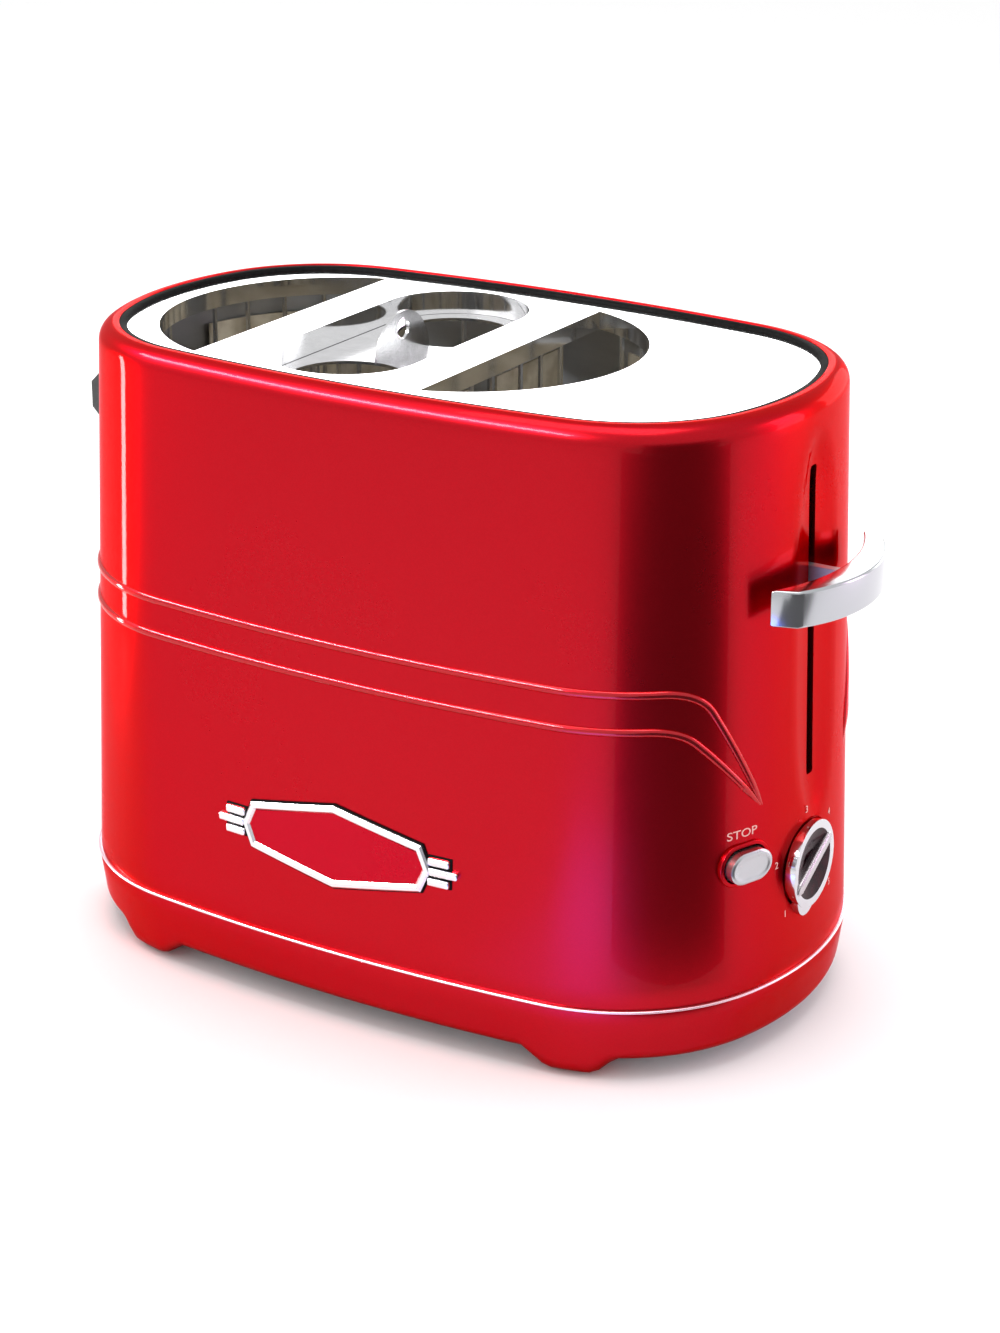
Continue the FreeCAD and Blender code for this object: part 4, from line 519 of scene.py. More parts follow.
class Finish:
    """A material under construction: its tree, its shader and where it reads its place from."""

    def __init__(self, name, colour, metallic=0.0, roughness=0.4, **sockets):
        self.material = bpy.data.materials.new(name)
        self.material.use_nodes = True
        self.tree = self.material.node_tree
        self.shader = self.tree.nodes["Principled BSDF"]
        self.shader.inputs["Base Color"].default_value = (*colour, 1.0)
        self.shader.inputs["Metallic"].default_value = metallic
        self.shader.inputs["Roughness"].default_value = roughness
        for label, value in sockets.items():
            self.shader.inputs[label.replace("_", " ")].default_value = value
        place = self.tree.nodes.new("ShaderNodeTexCoord")
        self.place = place.outputs["Object"]

    def group(self, tree, **values):
        node = self.tree.nodes.new("ShaderNodeGroup")
        node.node_tree = tree
        self.tree.links.new(self.place, node.inputs["Vector"])
        for label, value in values.items():
            node.inputs[label.replace("_", " ")].default_value = value
        return node

    def bump(self, height, strength, distance):
        node = self.tree.nodes.new("ShaderNodeBump")
        node.inputs["Strength"].default_value = strength
        node.inputs["Distance"].default_value = distance
        self.tree.links.new(height, node.inputs["Height"])
        self.tree.links.new(node.outputs["Normal"], self.shader.inputs["Normal"])

    def tint(self, mask, dark, light):
        """Base colour that runs between two colours over a mask."""
        node = self.tree.nodes.new("ShaderNodeMix")
        node.data_type = "RGBA"
        self.tree.links.new(mask, node.inputs["Factor"])
        node.inputs["A"].default_value = (*dark, 1.0)
        node.inputs["B"].default_value = (*light, 1.0)
        self.tree.links.new(node.outputs["Result"], self.shader.inputs["Base Color"])

    def handled(self, low, high, scale=14.0):
        marks = self.group(HANDLING, Smear_Scale=scale, Low=low, High=high)
        self.tree.links.new(marks.outputs["Roughness"], self.shader.inputs["Roughness"])
        return marks


def scaled_tone(tone, share):
    return tuple(value * share for value in tone)


def lacquer(name, tone, low, high, coat):
    """Clear coat over a metallic colour whose glancing edges stay coloured."""
    finish = Finish(name, tone, metallic=1.0, roughness=low,
                    Coat_Weight=coat, Coat_Roughness=0.03, Coat_IOR=1.45)
    finish.shader.inputs["Specular Tint"].default_value = (1.0, 0.03, 0.08, 1.0)
    flakes = finish.group(FLAKES, Flake_Scale=3000.0)
    finish.tint(flakes.outputs["Sparkle"], scaled_tone(tone, 0.96), scaled_tone(tone, 1.05))
    finish.handled(low, high, 9.0)
    finish.bump(flakes.outputs["Height"], 0.012, 0.0002)
    return finish.material


def polished_sheet(name, tone, low, high, along=(3.0, 700.0, 700.0), strength=0.06):
    """Bare metal with a faint grain."""
    finish = Finish(name, tone, metallic=1.0, roughness=low)
    grain = finish.group(GRAIN, Along_X=along[0], Along_Y=along[1], Along_Z=along[2])
    finish.tint(grain.outputs["Lines"], scaled_tone(tone, 1 - 1.3 * strength), tone)
    finish.handled(low, high, 18.0)
    finish.bump(grain.outputs["Height"], strength, 0.0001)
    return finish.material


def plated(name, tone, low, high):
    """Chrome plating with faint smears."""
    finish = Finish(name, tone, metallic=1.0, roughness=low)
    marks = finish.handled(low, high, 22.0)
    finish.tint(marks.outputs["Smear"], scaled_tone(tone, 0.93), tone)
    finish.bump(marks.outputs["Smear"], 0.012, 0.0002)
    return finish.material


def moulded(name, dark, light, low, high, bump=0.08, scale=600.0, **sockets):
    """Moulded or painted stuff with a fine even grain."""
    finish = Finish(name, light, roughness=low, **sockets)
    grain = finish.group(GRAIN, Along_X=scale, Along_Y=scale, Along_Z=scale)
    finish.tint(grain.outputs["Lines"], dark, light)
    finish.handled(low, high, 30.0)
    finish.bump(grain.outputs["Height"], bump, 0.0002)
    return finish.material


RED = lacquer("red_lacquer", (0.43, 0.005, 0.012), 0.27, 0.33, 0.13)
BEAD_RED = lacquer("bead_lacquer", (0.43, 0.005, 0.012), 0.24, 0.30, 0.7)
LEVER_CHROME = plated("lever_chrome", (0.47, 0.48, 0.50), 0.15, 0.21)
# painted highlight: pinkish chrome for the bright line along the seam between the housing and its base
SEAM_HIGHLIGHT = plated("seam_painted_highlight", (0.88, 0.60, 0.68), 0.2, 0.3)
BADGE_CHROME = plated("badge_chrome", (0.80, 0.80, 0.82), 0.22, 0.30)
KNOB_CHROME = plated("knob_chrome", (0.60, 0.60, 0.63), 0.05, 0.11)
CAGE_STEEL = polished_sheet("cage_steel", (0.62, 0.62, 0.63), 0.14, 0.24, (300.0, 300.0, 300.0))
PLATE_STEEL = polished_sheet("plate_steel", (0.93, 0.93, 0.935), 0.07, 0.13, strength=0.015)
ZINC = polished_sheet("zinc_sheet", (0.55, 0.56, 0.58), 0.32, 0.46, (40.0, 40.0, 260.0))
WIRE = polished_sheet("nickel_wire", (0.70, 0.71, 0.73), 0.16, 0.3, (500.0, 500.0, 40.0))
BLADE_SILVER = plated("blade_silver", (0.52, 0.48, 0.50), 0.22, 0.32)
SILVER = plated("silver_plating", (0.50, 0.50, 0.52), 0.26, 0.34)
BLACK = moulded("black_moulding", (0.008, 0.008, 0.009), (0.022, 0.022, 0.024), 0.38, 0.55)
DIAL_FACE = moulded("dial_face", (0.010, 0.002, 0.004), (0.030, 0.004, 0.008), 0.12, 0.22, 0.03, 300.0,
                    Specular_IOR_Level=0.06)
RUBBER = moulded("foot_rubber", (0.006, 0.006, 0.006), (0.018, 0.018, 0.018), 0.6, 0.8, 0.15, 900.0)
WHITE_PLASTIC = moulded("white_moulding", (0.70, 0.69, 0.65), (0.80, 0.79, 0.76), 0.4, 0.5)
MICA = moulded("mica_sheet", (0.42, 0.35, 0.24), (0.62, 0.55, 0.42), 0.35, 0.6, 0.2, 120.0)
BOARD = moulded("board_resin", (0.02, 0.14, 0.06), (0.05, 0.22, 0.10), 0.35, 0.5)
COPPER = moulded("coil_winding", (0.38, 0.14, 0.05), (0.62, 0.28, 0.12), 0.25, 0.4, 0.3, 1500.0, Metallic=0.8)
RIBBON = polished_sheet("heating_ribbon", (0.48, 0.44, 0.40), 0.3, 0.5, (40.0, 40.0, 400.0))
ENAMEL = lacquer("badge_enamel", (0.46, 0.003, 0.016), 0.24, 0.3, 0.15)
LETTERING = moulded("printed_marks", (0.68, 0.34, 0.31), (0.78, 0.44, 0.40), 0.4, 0.5)
# painted shade: black for the shadow gap between the rim and the plate, and for the dark outline round the
# badge and its bars
SHADE_BLACK = moulded("painted_shade_black", (0.003, 0.003, 0.003), (0.008, 0.007, 0.007), 0.55, 0.7, 0.05, 900.0,
                 Specular_IOR_Level=0.04)


def paint(piece, *materials):
    piece.data.materials.clear()
    for material in materials:
        piece.data.materials.append(material)
    return piece


NODE_FINISHES = (
    (RED, "body_shell base"),
    (ZINC, "bottom_plate chassis_plate heat_shield rod_bracket carriage rack_beam lever_arm armature"),
    (ZINC, "board_brackets crumb_tray"),
    (WIRE, "bun_guard_front bun_guard_rear cage_wires cage_rings guide_rods bun_rack_front bun_rack_rear"),
    (WIRE, "hot_dog_lifters lift_spring base_screws chassis_screws"),
    (BLACK, "rear_spacer mains_switch timer stop_switch cord_gland"),
    (PLATE_STEEL, "top_plate"),
    (CAGE_STEEL, "cage_flange"),
    (LEVER_CHROME, "lever_handle"),
    (KNOB_CHROME, "knob"),
    (SILVER, "stop_button"),
    (BADGE_CHROME, "badge_frame"),
    (ENAMEL, "badge_inlay"),
    (RUBBER, "foot_pads"),
    (MICA, "heater_cards"),
    (RIBBON, "heater_wires"),
    (COPPER, "electromagnet"),
    (BOARD, "control_board"),
    (WHITE_PLASTIC, "terminal_block"),
)
for node_material, node_names in NODE_FINISHES:
    for node_name in node_names.split():
        paint(NODES[node_name], node_material)


# ---------------- housing

def dish_depth(y, z):
    """How deep the finger dish round the slot is at a place on the lever end."""
    across = min(1.0, abs(y) / DISH_WIDTH)
    up = min(1.0, abs(z - DISH_MIDDLE) / DISH_HALF)
    reach = math.sqrt(max(0.0, 1 - up ** 4))
    if reach <= 0 or across >= reach:
        return 0.0
    share = across / reach
    return DISH_DEPTH * (1 - share ** 2) ** 1.3 * min(1.0, reach * 1.2)


def make_housing():
    piece = new_piece("housing")
    levels = [
        (flare_at(SEAM_HEIGHT) - SHEET, SEAM_HEIGHT + SEAM_GROOVE + RING_STEP),
        (flare_at(SEAM_HEIGHT) - 0.5, SEAM_HEIGHT + SEAM_GROOVE),
        (flare_at(SEAM_HEIGHT) - 0.12, SEAM_HEIGHT + SEAM_GROOVE + 0.15),
        (flare_at(SEAM_HEIGHT), SEAM_HEIGHT + SEAM_GROOVE + 0.6),
        (flare_at(70.0), 70.0),
        (flare_at(206.0), 206.0),
    ]
    for step in range(ROUND_STEPS + 1):
        share = math.sin(math.pi / 2 * step / ROUND_STEPS)
        height = BODY_HEIGHT - RIM_ROUND * (1 - share)
        levels.append((flare_at(height) - rounding(RIM_ROUND, share), height))
    inner = -RIM_WIDTH
    levels += [
        (inner + 0.8, BODY_HEIGHT - RING_STEP),
        (inner + 0.25, BODY_HEIGHT - 0.2),
        (inner, BODY_HEIGHT - 0.8),
        (inner, PLATE_SEAT - 2.4),
        (inner - 3.0, PLATE_SEAT - 2.4 - RING_STEP),
    ]
    wall_through(piece, levels, WALL_CUTS)
    weld()
    face_outwards()
    mesh = edit_points(piece)
    for vert in mesh.verts:
        x = vert.co.x / MM - HOUSING_X
        y = vert.co.y / MM
        z = vert.co.z / MM
        if x > END.x + END_RADIUS * 0.7 and DISH_ZONE[0] < z < DISH_ZONE[1]:
            vert.co.x -= dish_depth(y, z) * MM
    bmesh.update_edit_mesh(piece.data)
    bpy.ops.object.mode_set(mode="OBJECT")
    slot = rounded_block("slot_cutter", (SLOT_REACH[0], -SLOT_WIDTH / 2, SLOT_LOW),
                         (SLOT_REACH[1], SLOT_WIDTH / 2, SLOT_HIGH), 1.2)
    add_modifier(piece, "SOLIDIFY", thickness=SHEET * MM, offset=-1.0)
    carve(piece, slot)
    recess = (end_x(0, flare_at(KNOB_Z)) - RECESS_DEPTH + RECESS_TOOL / 2, KNOB_Y, KNOB_Z)
    carve(piece, round_cutter("dial_cutter", KNOB_RADIUS + KNOB_GAP, RECESS_TOOL,
                              (0, math.pi / 2, 0), recess))
    carve(piece, button_cutter())
    return dress(piece, RED, "painted_red", "toaster", "body_shell", smooth=30)


def button_frame():
    """Matrix that sets a piece drawn facing +Z onto the stop button's place."""
    angle = math.radians(BUTTON_ANGLE)
    radius = END_RADIUS + flare_at(BUTTON_Z)
    out = Vector((math.cos(angle), -math.sin(angle), 0))
    along = Vector((math.sin(angle), math.cos(angle), 0))
    place = Vector((END.x + HOUSING_X + radius * out.x, radius * out.y, BUTTON_Z)) * MM
    turn = Matrix((along, Vector((0, 0, 1)), out)).transposed().to_4x4()
    return Matrix.Translation(place) @ turn


def stadium(name, length, width, low, high):
    """An upright stadium prism about the origin, in millimetres, in edit mode."""
    piece = new_piece(name)
    straight = (length - width) / 2
    point_at(straight, -width / 2, low, origin=0.0)
    sweep(straight, 0, low, 180, 24, origin=0.0)
    extrude_by(-2 * straight, 0, 0)
    sweep(-straight, 0, low, 180, 24, origin=0.0)
    fill_and_raise(0, 0, high - low)
    return piece


def button_stadium(name, margin, low, high):
    """A stadium that is larger than the button by a margin all round."""
    return stadium(name, BUTTON_LENGTH + 2 * margin, BUTTON_WIDTH + 2 * margin, low, high)


def button_cutter():
    piece = button_stadium("button_cutter", BUTTON_GAP, -8, 8)
    bpy.ops.object.mode_set(mode="OBJECT")
    piece.matrix_world = button_frame()
    bpy.context.view_layer.update()
    return piece


def bead_line(level, turn_y):
    """Points of one bead: up from the meeting point, round the turn, along the sides and the far end."""
    centre = Vector((turn_y, level - BEAD_TURN))
    meeting = Vector(BEAD_MEETING)
    offset = meeting - centre
    touch_angle = (math.atan2(offset.y, offset.x) - math.acos(BEAD_TURN / offset.length)) % (2 * math.pi)
    touch = centre + Vector((math.cos(touch_angle), math.sin(touch_angle))) * BEAD_TURN
    dive = []
    for step in range(DIVE_STEPS):
        dive.append(meeting.lerp(touch, step / DIVE_STEPS))
    for step in range(DIVE_STEPS + 1):
        angle = touch_angle + (math.pi / 2 - touch_angle) * step / DIVE_STEPS
        dive.append(centre + Vector((math.cos(angle), math.sin(angle))) * BEAD_TURN)
    growth = flare_at(level)
    half = [(end_x(y, flare_at(z)), y, z) for y, z in dive]
    start_angle = math.atan2(turn_y - CORNER.y, end_x(turn_y, growth) - CORNER.x)
    arcs = [
        (CORNER, CORNER_RADIUS + growth, start_angle, SIDE_ANGLE, 14),
        (SIDE, SIDE_RADIUS + growth, SIDE_ANGLE, math.pi - SIDE_ANGLE, 30),
        (Vector((-CORNER.x, CORNER.y)), CORNER_RADIUS + growth, math.pi - SIDE_ANGLE,
         math.pi - END_ANGLE, 24),
        (Vector((-END.x, 0)), END_RADIUS + growth, math.pi - END_ANGLE, math.pi, 12),
    ]
    for arc_centre, radius, first, last, steps in arcs:
        for step in range(1, steps + 1):
            angle = first + (last - first) * step / steps
            half.append((arc_centre.x + radius * math.cos(angle),
                         arc_centre.y + radius * math.sin(angle), level))
    return half + [(x, -y, z) for x, y, z in reversed(half[:-1])]


def make_bead(name, level, turn_y):
    """A raised bead as a thin bar of round section, sunk into the wall."""
    curve = bpy.data.curves.new(name, "CURVE")
    curve.dimensions = "3D"
    curve.bevel_depth = BEAD_RADIUS * MM
    curve.bevel_resolution = 5
    line = bead_line(level, turn_y)
    spline = curve.splines.new("POLY")
    spline.points.add(len(line) - 1)
    sink = BEAD_RADIUS - BEAD_PROUD
    for point, (x, y, z) in zip(spline.points, line):
        inward = Vector((x, y)).normalized() * sink
        point.co = ((x - inward.x + HOUSING_X) * MM, (y - inward.y) * MM, z * MM, 1)
        tip = min(1.0, 0.25 + (z - BEAD_MEETING[1]) / 12.0)
        point.radius = max(0.3, tip)
    piece = bpy.data.objects.new(name, curve)
    bpy.context.scene.collection.objects.link(piece)
    work_on(piece)
    bpy.ops.object.convert(target="MESH")
    piece = bpy.context.object
    piece.name = name
    return dress(piece, BEAD_RED, "painted_red", "toaster")


def make_gasket():
    """Black bead in the gap between the rim and the plate, painted shade for the dark shadow gap there."""
    piece = new_piece("rim_groove_shade")
    inner = -PLATE_EDGE - 0.4
    outer = -RIM_WIDTH + 0.15
    levels = [
        (inner, PLATE_TOP + 0.05),
        (inner + 0.2, PLATE_TOP + 0.9),
        (inner + 0.7, PLATE_TOP + 1.35),
        (outer - 0.7, PLATE_TOP + 1.5),
        (outer, PLATE_TOP + 1.5 - RING_STEP),
        (outer, PLATE_TOP + 0.05 + RING_STEP),
    ]
    wall_through(piece, levels, closed=True)
    face_outwards()
    return dress(piece, SHADE_BLACK, "black_plastic", "toaster", smooth=60)


def make_seam_line():
    """Bead along the seam between the housing and its base, plated in pinkish chrome as a painted highlight
    for the bright line that the base's top edge catches.
    """
    piece = new_piece("seam_highlight_line")
    growth = skirt_growth(SEAM_HEIGHT)
    levels = [
        (growth - 1.2, SEAM_HEIGHT - 0.2),
        (growth + 0.08, SEAM_HEIGHT - 0.22),
        (growth + 0.26, SEAM_HEIGHT - 0.02),
        (growth + 0.30, SEAM_HEIGHT + 0.2),
        (growth + 0.22, SEAM_HEIGHT + 0.4),
        (growth + 0.0, SEAM_HEIGHT + 0.6),
        (growth - 0.3, SEAM_HEIGHT + 0.68),
        (growth - 1.2, SEAM_HEIGHT + 0.68 + RING_STEP),
    ]
    wall_through(piece, levels, closed=True)
    face_outwards()
    return dress(piece, SEAM_HIGHLIGHT, "chrome_plastic", "toaster", smooth=60)


# ---------------- base

def foot_share(x, y):
    """0 between the feet and 1 over a sole, with an S-shaped run between them."""
    away = abs(abs(x) - FOOT_CENTRE)
    if abs(y) < FOOT_CLEAR:
        return 0.0
    run = (FOOT_ROOT - FOOT_SOLE) / 2
    share = 1 - (away - FOOT_SOLE / 2) / run
    share = max(0.0, min(1.0, share))
    return share * share * (3 - 2 * share)


def make_base():
    piece = new_piece("base_skirt")
    top = SEAM_HEIGHT
    levels = [
        (skirt_growth(top) - SKIRT_WALL, SKIRT_LEDGE),
        (skirt_growth(top) - SKIRT_WALL, top - RING_STEP),
        (skirt_growth(top) - 0.6, top),
        (skirt_growth(top) - 0.18, top - 0.18),
        (skirt_growth(top), top - 0.6),
        (skirt_growth(SKIRT_STRAIGHT), SKIRT_STRAIGHT),
    ]
    first_ring = len(levels)
    for step in range(SKIRT_STEPS + 1):
        share = math.sin(math.pi / 2 * step / SKIRT_STEPS)
        height = SKIRT_EDGE + SKIRT_ROUND * (1 - share)
        levels.append((skirt_growth(height) - rounding(SKIRT_ROUND * 0.8, share), height))
    inside = skirt_growth(SKIRT_EDGE) - SKIRT_WALL - 1.2
    levels.append((inside, SKIRT_EDGE + 0.3))
    levels.append((inside, SKIRT_LEDGE - RING_STEP))
    wall_through(piece, levels, closed=True)
    mesh = edit_points(piece)
    layer = ring_numbers(mesh)
    edge_ring = len(levels) - 2
    for vert in mesh.verts:
        number = vert[layer]
        if number < first_ring:
            continue
        x = vert.co.x / MM - HOUSING_X
        y = vert.co.y / MM
        z = vert.co.z / MM
        share = foot_share(x, y)
        if number <= edge_ring:
            low = (SKIRT_STRAIGHT - z) / (SKIRT_STRAIGHT - SKIRT_EDGE)
            vert.co.z = (z - share * (SKIRT_EDGE - SOLE_HEIGHT) * low) * MM
        else:
            inward = share * (FOOT_DEPTH - SKIRT_WALL)
            vert.co.y -= math.copysign(inward, y) * MM
            if number == edge_ring + 1:
                vert.co.z = (z - share * (SKIRT_EDGE - SOLE_HEIGHT)) * MM
    bmesh.update_edit_mesh(piece.data)
    face_outwards()
    bpy.ops.object.mode_set(mode="OBJECT")
    carve(piece, rounded_block("tray_cutter", (TRAY_REACH[0], -TRAY_HALF, TRAY_LOW),
                               (TRAY_REACH[1], TRAY_HALF, TRAY_HIGH), 0.3))
    carve(piece, round_cutter("gland_cutter", GLAND_RADIUS, GLAND_LENGTH,
                              (math.pi / 2, 0, 0), GLAND_PLACE, 64))
    return dress(piece, RED, "painted_red", "toaster", "base")


# ---------------- lever

def make_lever():
    piece = new_piece("lever_grip")
    low = LEVER_HEIGHT - LEVER_DEPTH / 2
    half_tip = LEVER_HALF - LEVER_SLANT
    outer = (half_tip ** 2 + LEVER_BOW ** 2) / (2 * LEVER_BOW)
    inner = (LEVER_HALF ** 2 + LEVER_INNER_BOW ** 2) / (2 * LEVER_INNER_BOW)
    outer_sweep = math.degrees(2 * math.asin(half_tip / outer))
    inner_sweep = math.degrees(2 * math.asin(LEVER_HALF / inner))
    tip = LEVER_OUTER - LEVER_BOW
    heel = LEVER_INNER - LEVER_INNER_BOW
    point_at(tip, -half_tip, low)
    sweep(LEVER_OUTER - outer, 0, low, outer_sweep, 32)
    extrude_by(heel - tip, LEVER_SLANT, 0)
    sweep(LEVER_INNER - inner, 0, low, -inner_sweep, 32)
    fill_and_raise(0, 0, LEVER_DEPTH)
    round_edges(piece, 1.4, 4, 40)
    return dress(piece, LEVER_CHROME, "chrome_plastic", "lever", "lever_handle")


# ---------------- dial

def dial_frame():
    """Matrix that sets a piece drawn facing +Z onto the dial's place, its +X along the housing's +Y."""
    place = Vector((end_x(0, flare_at(KNOB_Z)) + HOUSING_X, KNOB_Y, KNOB_Z)) * MM
    turn = Matrix(((0, 1, 0), (0, 0, 1), (1, 0, 0))).transposed().to_4x4()
    return Matrix.Translation(place) @ turn


def round_bar(name, radius, low, high, x=0.0, y=0.0):
    """A cylinder along +Z, in millimetres."""
    bpy.ops.object.select_all(action="DESELECT")
    bpy.ops.mesh.primitive_cylinder_add(
        vertices=96, radius=radius * MM, depth=(high - low) * MM,
        location=(x * MM, y * MM, (low + high) / 2 * MM))
    bar = bpy.context.object
    bar.name = name
    bpy.ops.object.transform_apply(location=True, rotation=True, scale=True)
    return bar


def join_into(piece, other):
    """Unite two solids and drop the second."""
    add_modifier(piece, "BOOLEAN", object=other, operation="UNION", solver="EXACT", material_mode="TRANSFER")
    bpy.data.objects.remove(other)


def dish_cutter():
    """A shallow cone that leaves its dark finish where it cuts the dial's face."""
    rim = KNOB_RADIUS - KNOB_RING
    bpy.ops.object.select_all(action="DESELECT")
    bpy.ops.mesh.primitive_cone_add(
        vertices=96, radius1=BLADE_WIDTH / 2 * MM, radius2=(rim + 0.7) * MM, depth=(KNOB_DISH + 0.4) * MM,
        location=(0, 0, (KNOB_TOP - KNOB_DISH + (KNOB_DISH + 0.4) / 2) * MM))
    cutter = bpy.context.object
    bpy.ops.object.transform_apply(location=True, rotation=True, scale=True)
    return paint(cutter, DIAL_FACE)


def make_dial():
    """Dial with a chrome ring, a dark dished face, a grip blade across it and a pointer nose."""
    piece = round_bar("dial", KNOB_RADIUS, KNOB_BACK, KNOB_TOP)
    nose_angle = math.radians(NOSE_ANGLE)
    nose = round_bar("dial_nose", NOSE_RADIUS, KNOB_BACK + 0.6, KNOB_TOP - 0.3,
                     NOSE_SHIFT * math.cos(nose_angle), NOSE_SHIFT * math.sin(nose_angle))
    paint(piece, KNOB_CHROME)
    paint(nose, KNOB_CHROME)
    join_into(piece, nose)
    round_edges(piece, 0.75, 4, 50)
    carve(piece, dish_cutter(), material_mode="TRANSFER")
    length = 2 * (KNOB_RADIUS - KNOB_RING / 2)
    blade = stadium("dial_blade", length, BLADE_WIDTH, KNOB_TOP - KNOB_DISH - 0.3, BLADE_TOP)
    taper_blade(blade, length)
    round_edges(blade, 0.9, 3, 50)
    paint(blade, BLADE_SILVER)
    blade.rotation_euler = (0, 0, math.radians(BLADE_ANGLE))
    bpy.ops.object.transform_apply(location=True, rotation=True, scale=True)
    join_into(piece, blade)
    piece.matrix_world = dial_frame()
    return finish_piece(piece, "dial", "knob", smooth=32)


def taper_blade(blade, length):
    """Narrow the blade towards its ends, and let its crest fall a little there."""
    mesh = edit_points(blade)
    for vert in mesh.verts:
        share = abs(vert.co.x / MM) / (length / 2)
        vert.co.y *= 1 - 0.45 * share ** 2
        if vert.co.z > KNOB_TOP * MM:
            vert.co.z -= 0.8 * share ** 2 * MM
    bmesh.update_edit_mesh(blade.data)


# ---------------- stop button

def make_stop_button():
    """Oval cap with a broad rounded edge and a slightly hollow face."""
    piece = stadium("stop_cap", BUTTON_LENGTH, BUTTON_WIDTH, -4.0, BUTTON_PROUD)
    mesh = edit_points(piece)
    for vert in mesh.verts:
        across = abs(vert.co.x / MM) / (BUTTON_LENGTH / 2)
        vert.co.y *= 1 - 0.10 * across
    bmesh.update_edit_mesh(piece.data)
    choose(piece, lambda vert: vert.co.z > (BUTTON_PROUD - 0.01) * MM)
    inset_steps((0.5, 0.45), (0.7, 0.15), (0.5, -0.25), (1.0, -0.1))
    face_outwards()
    bpy.ops.object.mode_set(mode="OBJECT")
    piece.matrix_world = button_frame()
    return dress(piece, SILVER, "button_silver", "stop_button", "stop_button", smooth=40)


def make_button_lip():
    """Low collar round the button's opening."""
    piece = button_stadium("button_lip", BUTTON_GAP + LIP_WIDTH, -3, 0.5)
    round_edges(piece, 0.45, 3, 50)
    hole = button_stadium("lip_hole", BUTTON_GAP, -5, 5)
    carve(piece, hole)
    piece.matrix_world = button_frame()
    return dress(piece, RED, "painted_red", "toaster", smooth=40)


# ---------------- printed marks

def printed(name, words, size, place_by):
    """Printed words as a thin raised film, each corner set onto the lever end by place_by."""
    bpy.ops.object.select_all(action="DESELECT")
    bpy.ops.object.text_add(location=(0, 0, 0))
    piece = bpy.context.object
    piece.name = name
    piece.data.body = words
    piece.data.size = size * MM
    piece.data.align_x = "CENTER"
    piece.data.align_y = "CENTER"
    piece.data.extrude = FILM * MM
    bpy.ops.object.convert(target="MESH")
    piece = bpy.context.object
    bpy.ops.object.mode_set(mode="EDIT")
    mesh = edit_points(piece)
    for vert in mesh.verts:
        x, y, z = place_by(vert.co.x / MM, vert.co.y / MM)
        vert.co = Vector(((x + HOUSING_X) * MM + vert.co.z, y * MM, z * MM))
    bmesh.update_edit_mesh(piece.data)
    return dress(piece, LETTERING, "painted_red", "toaster", smooth=20)


def make_dial_numbers():
    for number, (degrees, radius) in enumerate(zip(NUMBER_ANGLES, NUMBER_RADII), start=1):
        y_middle = KNOB_Y + radius * math.cos(math.radians(degrees))
        z_middle = KNOB_Z + radius * math.sin(math.radians(degrees))

        def on_wall(across, up):
            y = y_middle + across
            z = z_middle + up
            return end_x(y, flare_at(z)) + FILM_PROUD, y, z
        printed("dial_number_%d" % number, str(number), NUMBER_SIZE, on_wall)


def make_stop_word():
    def on_wall(across, up):
        z = WORD_Z + WORD_STRETCH[1] * up
        radius = END_RADIUS + flare_at(z)
        angle = -math.radians(WORD_ANGLE) + WORD_STRETCH[0] * across / radius
        y = radius * math.sin(angle)
        return end_x(y, flare_at(z)) + FILM_PROUD, y, z
    return printed("stop_word", "STOP", WORD_SIZE, on_wall)


# ---------------- badge

def onto_front(piece):
    """Bend a piece drawn on the XZ plane, facing -Y, onto the housing's front side."""
    mesh = edit_points(piece)
    for vert in mesh.verts:
        x = vert.co.x / MM - HOUSING_X
        vert.co.y -= side_y(x, flare_at(vert.co.z / MM)) * MM
    bmesh.update_edit_mesh(piece.data)


def badge_block(name, grow, rise):
    """Eight-sided block in edit mode, with its front face selected."""
    piece = new_piece(name)
    half = BADGE_HALF + grow
    shoulder = BADGE_SHOULDER + 0.8 * grow
    end = BADGE_END + 0.7 * grow
    peak = BADGE_PEAK + grow
    corners = [
        (half, 0), (shoulder, end), (0, peak), (-shoulder, end),
        (-half, 0), (-shoulder, -end), (0, -peak), (shoulder, -end),
    ]
    point_at(corners[0][0], 0, BADGE_Z + corners[0][1])
    for start, end in zip(corners, corners[1:] + corners[:1]):
        steps = max(1, round(math.dist(start, end) / BADGE_STRIDE))
        for _ in range(steps):
            extrude_by((end[0] - start[0]) / steps, 0, (end[1] - start[1]) / steps)
    fill_and_raise(0, -rise, 0)
    bpy.ops.mesh.select_mode(type="FACE")
    bpy.ops.mesh.select_all(action="DESELECT")
    mesh = edit_points(piece)
    for face in mesh.faces:
        if len(face.verts) > 8 and face.calc_center_median().y < -0.5 * rise * MM:
            face.select_set(True)
    bmesh.update_edit_mesh(piece.data)
    return piece


def front_block(name, side, ends, front, middle, half_height, bevel):
    """A rounded block on the housing's front side, between two distances to one side of the badge."""
    low, high = sorted((side * ends[0], side * ends[1]))
    block = rounded_block(name, (low, front, middle - half_height),
                          (high, WALL_BITE, middle + half_height), bevel)
    bpy.ops.object.mode_set(mode="EDIT")
    onto_front(block)
    return block


def make_badge_backing():
    """Black plate that the surround and its bars stand on, painted shade for the dark outline round them and
    the shadowed gaps between the bars.
    """
    piece = badge_block("badge_shadow_backing", 0.6, SHADOW_BACKING_RISE)
    onto_front(piece)
    dress(piece, SHADE_BLACK, "black_plastic", "toaster", smooth=20)
    # painted shade: black pads behind each row of bars for the dark gaps between them
    for side in (-1, 1):
        ends = (BADGE_SHOULDER + 2.0, BAR_TIP - BAR_STEP + 0.5)
        reach = BAR_PITCH + BAR_HEIGHT / 2 + 0.45
        pad = front_block("badge_bar_backing_%d" % side, side, ends, -SHADOW_BACKING_RISE, BADGE_Z, reach, 0.3)
        dress(pad, SHADE_BLACK, "black_plastic", "toaster")


